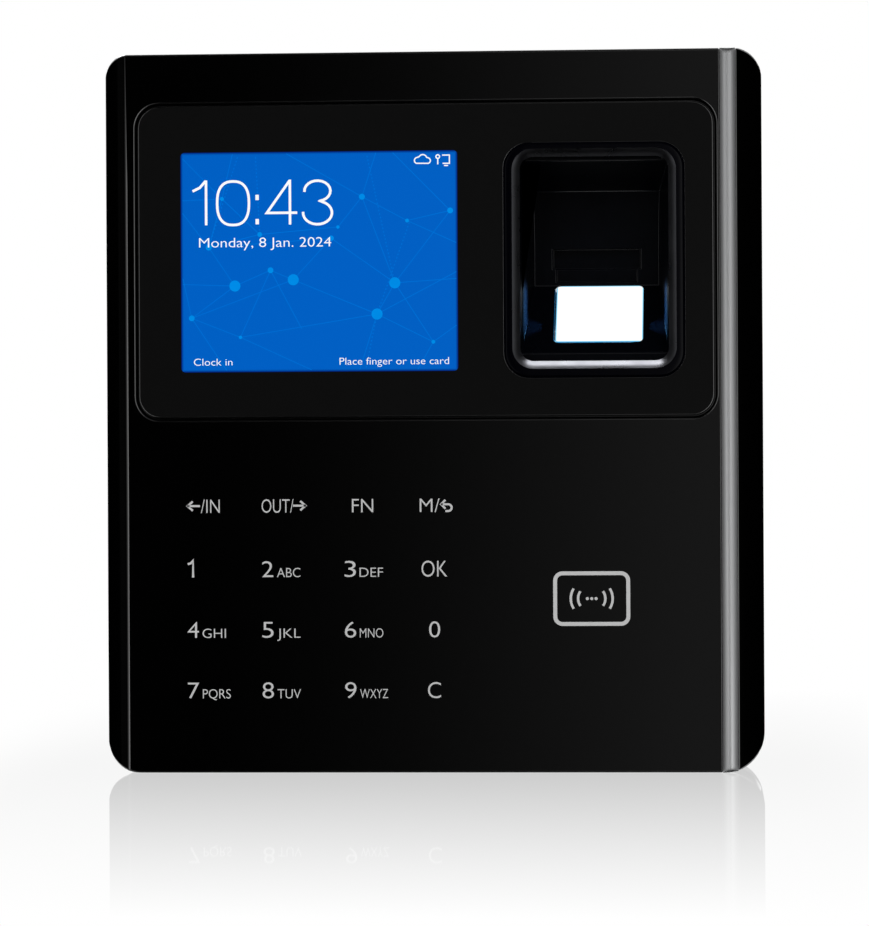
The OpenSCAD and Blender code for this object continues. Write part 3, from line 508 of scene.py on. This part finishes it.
def add_platen():
    """The lit glass that the finger lies on, with rounded corners and a softly rounded edge."""
    low_end, high_end = Vector((0, -29.0, 14.35)), Vector((0, -16.1, 26.5))
    shift, lifted, width, corner, thick = 0.75, 0.06, 18.2, 1.2, 1.2
    run = (high_end - low_end).normalized()
    up = Vector((0, -run.z, run.y))
    middle = (low_end + high_end) / 2 + Vector((BAY_X + shift, 0, 0)) + up * lifted
    length = (high_end - low_end).length

    def ring(inset, lift):
        outline = rounded(0, 0, width - 2 * inset, length - 2 * inset, corner - min(inset, 0.4), 8)
        return [middle + Vector((x, 0, 0)) + run * along + up * lift for x, along in outline]

    section = ((0.0, -thick), (0.0, -0.1), (0.05, -0.03), (0.12, 0.0), (0.5, 0.02), (1.0, 0.03))
    rings = [ring(inset, lift) for inset, lift in section]
    # White in the middle, blue in a narrow border
    mat, g, out = new_graph("platen_glow")
    x, _, z = g.axes()
    x_in = g.inset(x, middle.x * MM, width / 2 * MM)
    z_in = g.inset(z, middle.z * MM, length / 2 * run.z * MM)
    edge = g.remap(g.math("MINIMUM", x_in, g.times(z_in, 1.2)), 0.0, 0.45 * MM)
    shader = g.node("ShaderNodeEmission")
    colour = g.ramp(edge, (0.0, srgb(30, 130, 190)), (0.35, srgb(150, 225, 250)), (0.75, srgb(255)))
    g.put(shader.inputs["Color"], colour)
    shader.inputs["Strength"].default_value = 1.1
    g.put(out.inputs["Surface"], shader.outputs[0])
    MATERIALS[mat.name] = mat
    piece(loft("platen_glass", rings, 30), "platen_glow")


add_trim()
add_bezel()
add_platen()

# ---------------------------------------------------------------- small parts at the back and the sides


def join_lofts(name, parts):
    """One mesh from several lofts, each a list of rings."""
    bm = bmesh.new()
    for rings in parts:
        made = loft("part", rings, 40)
        bm.from_mesh(made)
        bpy.data.meshes.remove(made)
    mesh = bpy.data.meshes.new(name)
    bm.to_mesh(mesh)
    bm.free()
    smooth(mesh, 40)
    return mesh


def wire_mesh(name, paths, radius):
    """Round wires: each path is a list of 3D points, swept without twist and closed at both ends."""
    sides = 8
    turns = [2 * math.pi * k / sides for k in range(sides)]
    parts = []
    for path in paths:
        points = [Vector(p) for p in path]
        side = Vector((1, 0, 0))
        rings = []
        for i, p in enumerate(points):
            along = (points[min(i + 1, len(points) - 1)] - points[max(i - 1, 0)]).normalized()
            side = (side - along * side.dot(along)).normalized()
            up = along.cross(side)
            rings.append([p + radius * (math.cos(a) * side + math.sin(a) * up) for a in turns])
        parts.append(rings)
    return join_lofts(name, parts)


def add_spring():
    """The tamper spring as round wire."""
    low, high = node_box("tamper_spring")
    wire, turns, steps = 0.22, 5, 24
    x, z = (low.x + high.x) / 2, (low.z + high.z) / 2
    r = (high.x - low.x) / 2 - wire
    length = high.y - low.y
    path = []
    for i in range(turns * steps + 1):
        a = 2 * math.pi * i / steps
        y = low.y + wire + (length - 2 * wire) * i / (turns * steps)
        path.append((x + r * math.cos(a), y, z + r * math.sin(a)))
    obj = piece(wire_mesh("spring_wire", [path], wire), "screw_steel", "tamper_spring")
    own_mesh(obj)


def add_jack_contacts():
    """The network socket's spring contacts: each slopes from the roof of the mouth down towards the back."""
    low, high = node_box("ethernet_jack")
    count, pitch, wire, roof = 8, 1.02, 0.17, 4.0
    x, z = (low.x + high.x) / 2, (low.z + high.z) / 2 - 0.2
    # Depth behind the mouth, and height over the mouth's middle
    bends = ((1.6, roof - 0.15), (1.9, roof - 0.3), (4.2, 1.9), (6.4, 0.2), (6.8, 0.3), (6.9, roof))
    paths = [[(x + (i - (count - 1) / 2) * pitch, high.y - depth, z + rise) for depth, rise in bends]
             for i in range(count)]
    piece(wire_mesh("jack_contacts", paths, wire), "contact_gold")


def add_usb_contacts():
    """The USB tongue's four flat contacts with rounded ends; the outer two reach further out."""
    low, high = node_box("usb_port")
    z = (low.z + high.z) / 2
    pitch, long, wide, thick, corner = 2.3, 6.4, 1.0, 0.1, 0.3
    tongue_y = high.y - 2.8
    parts = []
    for i, start in enumerate((1.6, 2.6, 2.6, 1.6)):
        outline = rounded(low.x + start + long / 2, z + (i - 1.5) * pitch, long, wide, corner, 5)
        parts.append([ring_at(outline, tongue_y), ring_at(outline, tongue_y - thick)])
    piece(join_lofts("usb_contacts", parts), "contact_gold")


def add_wire_clamps():
    """A steel clamp in each way of the terminal blocks: an open box that the wire goes into."""
    low, high = node_box("terminal_blocks")
    blocks, ways, pitch, block_pitch = 3, 4, 3.5, 16.0
    w, h, wall = 2.3, 2.9, 0.3
    front, back = high.y - 1.2, high.y - 4.5
    z = high.z - 3.0
    parts = []
    for b in range(blocks):
        for way in range(ways):
            x = (low.x + high.x) / 2 + (b - (blocks - 1) / 2) * block_pitch + (way - (ways - 1) / 2) * pitch
            outer = rounded(x, z, w, h, 0.5, 5)
            inner = rounded(x, z, w - 2 * wall, h - 2 * wall, 0.3, 5)
            parts.append([ring_at(outer, back), ring_at(outer, front),
                          ring_at(inner, front), ring_at(inner, back)])
    piece(join_lofts("wire_clamps", parts), "screw_steel")


add_spring()
add_jack_contacts()
add_usb_contacts()
add_wire_clamps()

# ---------------------------------------------------------------- drawn lines and lettering


# How far the marks stand out; the built-in font's cap height, and the offset that thins its strokes
INK_T = 0.03
CAP_HEIGHT = 0.73
THINNER = -0.008


def stroke_mesh(name, lines, width, y, lift=INK_T):
    """Flat raised lines of (x, z) points. A line that ends on its first point is closed."""
    verts, faces = [], []
    for line in lines:
        shut = line[0] == line[-1] and len(line) > 2
        points = [Vector(p) for p in (line[:-1] if shut else line)]
        count = len(points)
        start = len(verts)
        for i, p in enumerate(points):
            before = points[i - 1] if (i or shut) else None
            after = points[(i + 1) % count] if (i < count - 1 or shut) else None
            a = (p - before).normalized() if before is not None else (after - p).normalized()
            b = (after - p).normalized() if after is not None else a
            left_a, left_b = Vector((-a.y, a.x)), Vector((-b.y, b.x))
            side = (left_a + left_b) / max(0.4, 1 + left_a.dot(left_b)) * width / 2
            for depth in (y - lift, y):
                verts += [(q.x, depth, q.y) for q in (p + side, p - side)]
        for i in range(count if shut else count - 1):
            a, b = start + 4 * i, start + 4 * ((i + 1) % count)
            faces += [(a, a + 1, b + 1, b), (a, b, b + 2, a + 2),
                      (a + 1, a + 3, b + 3, b + 1), (a + 2, b + 2, b + 3, a + 3)]
        if not shut:
            faces += [(a, a + 2, a + 3, a + 1) for a in (start, start + 4 * (count - 1))]
    return mesh_from(name, verts, faces, 30)


def disc_mesh(name, discs, y, lift=INK_T):
    """Flat raised discs given as (x, z, radius)."""
    sides = 28
    verts, faces = [], []
    for x, z, r in discs:
        start = len(verts)
        for depth in (y - lift, y):
            for i in range(sides):
                a = 2 * math.pi * i / sides
                verts.append((x + r * math.cos(a), depth, z + r * math.sin(a)))
        faces.append(tuple(start + i for i in range(sides)))
        faces.append(tuple(start + sides + i for i in range(sides)))
        faces += [(start + i, start + (i + 1) % sides, start + sides + (i + 1) % sides, start + sides + i)
                  for i in range(sides)]
    return mesh_from(name, verts, faces, 30)


def text_mesh(name, words, y):
    """Lettering as one raised mesh. Each word is (text, left x, baseline z, cap height, width or None)."""
    parts = bmesh.new()
    for text, x, z, cap, width in words:
        curve = bpy.data.curves.new("letters", "FONT")
        curve.body = text
        curve.size = 1.0
        curve.extrude = 0.001
        curve.offset = THINNER
        curve.resolution_u = 4
        obj = place("letters", curve)
        bpy.context.view_layer.update()
        made = obj.evaluated_get(bpy.context.evaluated_depsgraph_get()).to_mesh()
        ends = [v.co.x for v in made.vertices]
        start = min(ends)
        scale = cap / CAP_HEIGHT
        stretch = width / (max(ends) - start) if width else scale
        bm = bmesh.new()
        bm.from_mesh(made)
        for v in bm.verts:
            depth = y - (INK_T if v.co.z > 0 else 0.0)
            v.co = Vector((x + (v.co.x - start) * stretch, depth, z + v.co.y * scale)) * MM
        temp = bpy.data.meshes.new("temp")
        bm.to_mesh(temp)
        bm.free()
        parts.from_mesh(temp)
        bpy.data.meshes.remove(temp)
        obj.evaluated_get(bpy.context.evaluated_depsgraph_get()).to_mesh_clear()
        bpy.data.objects.remove(obj)
        bpy.data.curves.remove(curve)
    mesh = bpy.data.meshes.new(name)
    bmesh.ops.remove_doubles(parts, verts=parts.verts, dist=1e-7)
    bmesh.ops.recalc_face_normals(parts, faces=parts.faces)
    parts.to_mesh(mesh)
    parts.free()
    smooth(mesh, 30)
    return mesh


def arc(x, z, r, start, end, steps=12, rz=None):
    """Points on an arc between two angles in degrees. rz gives an ellipse its own height."""
    angles = [math.radians(start + (end - start) * i / steps) for i in range(steps + 1)]
    return [(x + r * math.cos(a), z + (rz or r) * math.sin(a)) for a in angles]


def add_legend(mesh):
    piece(mesh, "legend_grey")


def add_legends():
    """The keypad's printed digits, letters, words and arrows."""
    column = (-50.5, -35.0, -17.9, -2.3)
    words_z, arrows_z, words_cap = -20.6, -19.15, 3.0
    rows = (-33.9, -46.4, -58.9)
    cap, letters_cap, digit_w = 3.55, 2.06, 2.35
    words = [("/IN", column[0] + 2.9, words_z, words_cap, 3.9), ("OUT/", column[1], words_z, words_cap, 6.6),
             ("FN", column[2] + 1.6, words_z, words_cap, 4.4), ("M/", column[3], words_z, words_cap, 4.1),
             ("OK", column[3] + 0.3, rows[0], cap, 5.3), ("0", column[3] + 1.8, rows[1], cap, 2.3),
             ("C", column[3] + 1.5, rows[2], cap, 2.7)]
    letters = ("", "ABC", "DEF", "GHI", "JKL", "MNO", "PQRS", "TUV", "WXYZ")
    for i, group in enumerate(letters):
        x, z = column[i % 3], rows[i // 3]
        if i:
            words.append((str(i + 1), x, z, cap, digit_w))
            words.append((group, x + 3.1, z, letters_cap, 0.95 * len(group) + 2.0))
    add_legend(text_mesh("key_legends", words, FRONT_Y))
    # The 1 is drawn, with a flag and no foot
    flag = ((0.1, 2.75), (0.75, 2.95), (1.2, cap), (1.2, 0.0))
    one = [(column[0] + dx, rows[0] + dz) for dx, dz in flag]
    add_legend(stroke_mesh("key_one", [one], 0.46, FRONT_Y))
    arrows = []
    for x, turn in ((column[0], 1), (column[1] + 9.2, -1)):
        arrows.append([(x, arrows_z), (x + turn * 2.7, arrows_z)])
        arrows.append([(x + turn * dx, arrows_z + dz) for dx, dz in ((1.2, 0.95), (0.1, 0.0), (1.2, -0.95))])
    # The return arrow bends back under itself
    x, z, bend = column[3] + 4.4, -19.0, 0.7
    turn = arc(x + 1.5, z - bend, bend, 90, -90, 8)
    arrows.append([(x, z)] + turn + [(x + 0.9, z - 2 * bend)])
    arrows.append([(x + 0.9, z + 0.9), (x, z), (x + 0.9, z - 0.9)])
    add_legend(stroke_mesh("key_arrows", arrows, 0.42, FRONT_Y))


def add_card_mark():
    """The generic sign for the card reader: a card's outline with radio waves."""
    x, z = 33.0, -38.5
    outline = rounded(x, z, 15.0, 10.4, 1.5, 6)
    waves = [arc(x - 0.4, z, 3.9, 148, 212), arc(x - 0.2, z, 2.6, 145, 215),
             arc(x + 0.4, z, 3.9, -32, 32), arc(x + 0.2, z, 2.6, -35, 35)]
    dots = [(x + dx, z, 0.32) for dx in (-0.9, 0, 0.9)]
    add_legend(stroke_mesh("card_mark", [outline + outline[:1]], 0.8, FRONT_Y))
    add_legend(stroke_mesh("card_waves", waves, 0.5, FRONT_Y))
    add_legend(disc_mesh("card_dots", dots, FRONT_Y))


# The picture's face stands a hair out of the lens, and what is drawn on it is raised a little more
PICTURE_Y = FRONT_Y - 0.02
DRAWING_Y = FRONT_Y - 0.03
NET_T = 0.02

# Dots of the background net: x from the picture's left, z down from its top, and the radius
NET_DOTS = ((11.2, 27.6, 1.15), (23.3, 26.4, 1.15), (44.3, 27.2, 1.15), (40.6, 33.6, 1.15), (5.8, 19.6, 0.62),
            (18.6, 24.4, 0.6), (37.6, 9.4, 0.62), (55.8, 12.4, 0.6), (31.2, 17.9, 0.55), (2.2, 34.2, 0.6),
            (46.9, 14.4, 0.4), (12.3, 38.2, 0.35), (52.2, 39.4, 0.4), (8.6, 9.6, 0.4), (32.6, 15.6, 0.35),
            (16.4, 17.0, 0.5))
# Which dots a line joins
NET_PAIRS = ((0, 4), (0, 5), (5, 1), (1, 3), (3, 2), (2, 6), (6, 10), (2, 12), (1, 9), (0, 9), (4, 8), (8, 2),
             (6, 14), (14, 15), (15, 13), (13, 4), (3, 12), (7, 10), (7, 2), (9, 11), (11, 3), (8, 1), (4, 15),
             (5, 11))
# Lines that run from a dot to a point at the picture's border
NET_RAYS = ((6, (22.0, 0.4)), (6, (40.5, 0.4)), (13, (0.4, 1.2)), (13, (10.8, 0.4)), (7, (44.0, 0.4)),
            (10, (57.0, 19.0)), (12, (57.0, 36.0)), (2, (57.0, 26.4)), (3, (57.0, 25.0)), (9, (9.4, 45.0)),
            (11, (27.0, 45.0)), (3, (37.0, 45.0)), (0, (0.4, 27.2)), (13, (0.4, 9.9)), (5, (25.0, 36.5)),
            (12, (49.0, 45.0)), (9, (0.4, 26.0)), (4, (0.4, 12.5)))
# The dashed ones
NET_DASHED = ((4, (12.0, 0.6)), (3, (47.5, 14.4)), (2, (38.6, 0.6)), (15, (15.6, 0.6)), (3, (38.2, 45.0)))


def picture_point(right, down):
    """A point given from the picture's top left corner."""
    x, z, w, h = PICTURE
    return x - w / 2 + right, z + h / 2 - down


def add_picture():
    """The lit blue picture with a dark border, and the net of dots and lines on it."""
    x, z, w, h = PICTURE
    outline = rounded(x, z, w, h, 0.9, 6)
    mat, g, out = new_graph("picture_blue")
    across, _, up = g.axes()
    x_in = g.inset(across, x * MM, w / 2 * MM)
    z_in = g.inset(up, z * MM, h / 2 * MM)
    edge = g.remap(g.math("MINIMUM", x_in, z_in), 0.0, 0.6 * MM)
    shader = g.node("ShaderNodeBsdfPrincipled")
    shader.inputs["Base Color"].default_value = srgb(0, 4, 10)
    shader.inputs["Roughness"].default_value = 0.12
    shader.inputs["Specular IOR Level"].default_value = 0.12
    g.put(shader.inputs["Emission Color"], g.ramp(edge, (0.0, srgb(0, 20, 110)), (0.9, srgb(0, 95, 195))))
    shader.inputs["Emission Strength"].default_value = 1.0
    g.put(out.inputs["Surface"], shader.outputs[0])
    MATERIALS[mat.name] = mat
    sheet = [ring_at(outline, FRONT_Y + 0.05), ring_at(outline, PICTURE_Y)]
    piece(loft("picture", sheet, 30), "picture_blue")

    spots = [picture_point(right, down) for right, down, _ in NET_DOTS]
    lines = [[spots[a], spots[b]] for a, b in NET_PAIRS]
    lines += [[spots[a], picture_point(*end)] for a, end in NET_RAYS]
    piece(stroke_mesh("picture_net", lines, 0.16, PICTURE_Y, NET_T), "picture_lines")
    dashes = []
    pitch, inked = 0.75, 0.45
    for a, end in NET_DASHED:
        (x0, z0), (x1, z1) = spots[a], picture_point(*end)
        count = int(math.hypot(x1 - x0, z1 - z0) / pitch)
        dashes += [[(x0 + (x1 - x0) * t / count, z0 + (z1 - z0) * t / count) for t in (i, i + inked)]
                   for i in range(count)]
    piece(stroke_mesh("picture_dashes", dashes, 0.22, PICTURE_Y, NET_T), "picture_lines")
    discs = [(px, pz, dot[2]) for (px, pz), dot in zip(spots, NET_DOTS)]
    piece(disc_mesh("picture_spots", discs, DRAWING_Y, NET_T), "picture_dots")


def add_clock():
    """The time in thin figures, the display's words and small icons."""
    def white(mesh):
        piece(mesh, "picture_white")

    left, top = picture_point(0.0, 0.0)
    base, tall, thin = top - 15.0, 9.0, 0.52
    one_x, zero_x, colon_x, four_x, three_x = (left + dx for dx in (2.5, 10.9, 15.9, 17.9, 28.4))

    def figure(x, *points):
        """A line of points given as (x in mm, z as a share of the figures' height)."""
        return [(x + dx, base + tall * share) for dx, share in points]

    def rounder(value):
        """Makes a sine or cosine fuller, so that a circle becomes squarer."""
        return math.copysign(abs(value) ** 0.8, value)

    lines = [figure(one_x, (0.0, 0.78), (1.5, 0.86), (2.6, 1.0), (2.8, 1.0), (2.8, 0.0))]
    half_w, half_h = 3.3, tall / 2
    zero = [(zero_x + half_w * rounder(math.cos(a)), base + half_h + half_h * rounder(math.sin(a)))
            for a in [2 * math.pi * i / 40 for i in range(40)]]
    lines.append(zero + zero[:1])
    lines.append(figure(four_x, (6.3, 0.27), (0.0, 0.27), (4.7, 1.0), (4.8, 1.0), (4.8, 0.0)))
    upper, lower = tall * 0.235, tall * 0.265
    lines.append(arc(three_x, base + tall - upper, 2.7, 185, -80, 16, upper)
                 + arc(three_x, base + lower, 3.0, 85, -185, 18, lower))
    white(stroke_mesh("clock_figures", lines, thin, DRAWING_Y))
    colon = [[(colon_x, base + dz), (colon_x, base + dz + 1.1)] for dz in (0.1, 5.1)]
    white(stroke_mesh("clock_colon", colon, 0.7, DRAWING_Y))

    foot_z, foot_cap = top - 44.0, 1.55
    words = [("Monday, 8 Jan. 2024", left + 3.8, base - 4.6, 2.1, 27.4),
             ("Clock in", left + 2.6, foot_z, foot_cap, 8.0),
             ("Place finger or use card", left + 32.8, foot_z, foot_cap, 22.6)]
    white(text_mesh("display_words", words, DRAWING_Y))

    x, z = picture_point(50.1, 1.9)
    cloud = (arc(x - 1.0, z - 0.15, 0.62, 250, 100, 8) + arc(x + 0.1, z + 0.2, 0.85, 150, 20, 8)
             + arc(x + 1.1, z - 0.2, 0.58, 70, -80, 8))
    screen = [(x + 4.1, z + 0.9), (x + 5.6, z + 0.9), (x + 5.6, z - 0.8), (x + 4.2, z - 0.8)]
    stand = [(x + 4.5, z - 1.25), (x + 5.3, z - 1.25)]
    pin = [(x + 3.2, z - 1.0), (x + 3.2, z + 0.2)]
    eye = arc(x + 3.2, z + 0.6, 0.38, 0, 360, 12)[:-1]
    icons = [cloud + cloud[:1], screen, pin, eye + eye[:1], stand]
    white(stroke_mesh("status_icons", icons, 0.25, DRAWING_Y))


add_legends()
add_card_mark()
add_picture()
add_clock()

# ---------------------------------------------------------------- stage and light

FLOOR_Z = CAD_BOX[0][2]


def add_world():
    """White to the camera. To everything else a dark studio with a soft gradient light behind the camera.

    A bearing is in radians from straight ahead of the front, behind is the same from the back, and a climb is
    in radians above the horizon. The other bounds are parts of a direction.
    """
    world = bpy.data.worlds.new("studio")
    bpy.context.scene.world = world
    world.use_nodes = True
    world.node_tree.nodes.clear()
    g = Graph(world.node_tree)
    out = g.node("ShaderNodeOutputWorld")
    path = g.node("ShaderNodeLightPath")
    side, ahead, up = g.axes("Generated")
    bearing = g.math("ARCTAN2", side, g.times(ahead, -1.0))
    climb = g.math("ARCSINE", up)

    def near(value, middle, half, soft):
        """1 within half of middle, falling to 0 over soft."""
        return g.remap(g.magnitude(g.minus(value, middle)), half, half + soft, 1.0, 0.0, smooth=True)

    # A big soft light round the camera, with a dark card where the flat front would mirror it
    spread = g.math("POWER", g.magnitude(g.math("DIVIDE", bearing, 0.6)), 2.0)
    bell = g.math("EXPONENT", g.times(spread, -1.0))
    card = g.times(near(bearing, -0.06, 0.13, 0.05), near(climb, 0.012, 0.6, 0.1))
    low = g.remap(climb, -0.1, 0.1, 1.0, 0.72)
    soft_light = g.times(g.times(bell, low), g.times(near(climb, 0.0, 0.25, 0.3), 1.4))
    soft_light = g.times(soft_light, g.minus(1.0, card))
    # The card itself grows lighter to the right
    growth = g.math("POWER", g.remap(bearing, -0.13, -0.003, 0.0, 1.0), 1.7)
    gradient = g.times(g.times(growth, 0.21), card)
    # The light overhead, leaning back
    overhead = g.node("ShaderNodeVectorMath", operation="DOT_PRODUCT")
    g.put(overhead.inputs[0], g.coordinates("Generated"))
    overhead.inputs[1].default_value = Vector((0.0, 0.32, 0.95)).normalized()
    above = g.remap(overhead.outputs["Value"], 0.8, 0.93, 0.0, 0.25, smooth=True)
    # Faint light from the left and from the floor
    left = g.times(near(bearing, -1.57, 0.1, 0.1), 0.02)
    below = g.remap(up, -0.9, -0.99, 0.0, 0.06)
    # Low behind the object: the bright paper that the floor mirrors
    behind = g.math("ARCTAN2", side, ahead)
    paper = g.times(near(behind, -0.07, 0.13, 0.02), near(up, 0.16, 0.12, 0.02))
    # High and low behind the object: the light for its back and sides
    rear = g.times(g.remap(ahead, -0.1, 0.3, 0.0, 0.9, smooth=True), near(g.magnitude(climb), 0.7, 0.48, 0.08))
    glossy = g.add(soft_light, gradient, above, left, below, paper, rear)
    diffuse_level = 0.25
    level = g.add(g.times(glossy, path.outputs["Is Glossy Ray"]),
                  g.times(path.outputs["Is Diffuse Ray"], diffuse_level))
    level = g.math("MAXIMUM", level, path.outputs["Is Camera Ray"])
    background = g.node("ShaderNodeBackground")
    background.inputs["Color"].default_value = (1, 1, 1, 1)
    g.put(background.inputs["Strength"], level)
    g.put(out.inputs["Surface"], background.outputs[0])


def add_floor():
    """White paper that mirrors the part faintly near it, and less and less further out, with painted shade
    round the part where the mirror sees the dark studio. Metres.
    """
    half = 3.0
    front_y, fade, strength = -0.036, 0.27, 0.39
    side_start, side_end = 0.074, 0.12
    mesh = bpy.data.meshes.new("floor")
    corners = ((-half, -half), (half, -half), (half, half), (-half, half))
    mesh.from_pydata([(x, y, FLOOR_Z) for x, y in corners], [], [(0, 1, 2, 3)])
    obj = place("floor", mesh)
    mat, g, out = new_graph("floor_mirror_and_painted_shade")
    x, y, _ = g.axes()
    # Painted shade: near the part the paper's glow is dimmed by as much as it mirrors, so it goes grey
    # wherever the mirror sees the dark studio; in front of the part the mirror shows the part's real
    # reflection
    off = g.math("MAXIMUM", g.math("MAXIMUM", g.minus(front_y, y), y), 0.0)
    away = g.math("DIVIDE", off, fade, clamp=True)
    along = g.times(g.minus(1.0, g.math("POWER", away, 1.2)), strength)
    sides = g.remap(g.magnitude(x), side_start, side_end, 1.0, 0.0, smooth=True)
    paper = g.node("ShaderNodeEmission")
    paper.inputs["Color"].default_value = (1, 1, 1, 1)
    mirror = g.node("ShaderNodeBsdfGlossy")
    mirror.inputs["Roughness"].default_value = 0.02
    both = g.node("ShaderNodeMixShader")
    for socket, value in zip(both.inputs, (g.times(along, sides), paper.outputs[0], mirror.outputs[0])):
        g.put(socket, value)
    g.put(out.inputs["Surface"], both.outputs[0])
    mesh.materials.append(mat)
    obj.visible_diffuse = False
    obj.visible_glossy = False


def add_light(name, at, towards, size, power, size_y=None, colour=(1, 1, 1), glossy=True):
    """A rectangular light, in metres and watts, that the camera doesn't see."""
    data = bpy.data.lights.new(name, "AREA")
    data.shape = "RECTANGLE"
    data.size = size
    data.size_y = size_y or size
    data.energy = power
    data.color = colour
    obj = place(name, data)
    at, towards = Vector(at), Vector(towards)
    obj.matrix_world = Matrix.Translation(at) @ (towards - at).to_track_quat("-Z", "Y").to_matrix().to_4x4()
    obj.visible_camera = False
    obj.visible_glossy = glossy
    return obj


def add_lights():
    middle = (0.0, -0.03, 0.0)
    add_light("front", (0.5, -1.5, 1.0), middle, 0.8, 16.0, glossy=False)
    add_light("low_front", (-0.6, -1.5, 0.2), middle, 0.8, 6.0, glossy=False)
    # An overhead light for the bezel's chamfer alone
    receivers = bpy.data.collections.new("chamfer_light_receivers")
    receivers.objects.link(bpy.data.objects["bay_chamfer"])
    light = add_light("bezel_top", (0.034, -0.16, 0.6), (0.034, -0.036, 0.01), 0.5, 2.2, size_y=0.3)
    light.light_linking.receiver_collection = receivers
    # The platen's blue glow on the bay's side walls
    off, depth, height = 0.0112, -0.0262, 0.0214
    for side in (-1, 1):
        x = BAY_X * MM + side * off
        light = add_light(f"glow_{side}", (x, depth, height), (x + side, depth, height), 0.003, 0.0042,
                          size_y=0.009, colour=(0.15, 0.5, 1.0))
        light.data.spread = math.radians(70)
    add_light("back", (-0.7, 1.3, 1.1), middle, 0.7, 14.0)
    add_light("back_side", (1.1, 1.0, 0.6), middle, 0.4, 5.0, size_y=0.9, glossy=False)


add_camera()
add_world()
add_floor()
add_lights()
bpy.context.scene.view_settings.view_transform = "Standard"
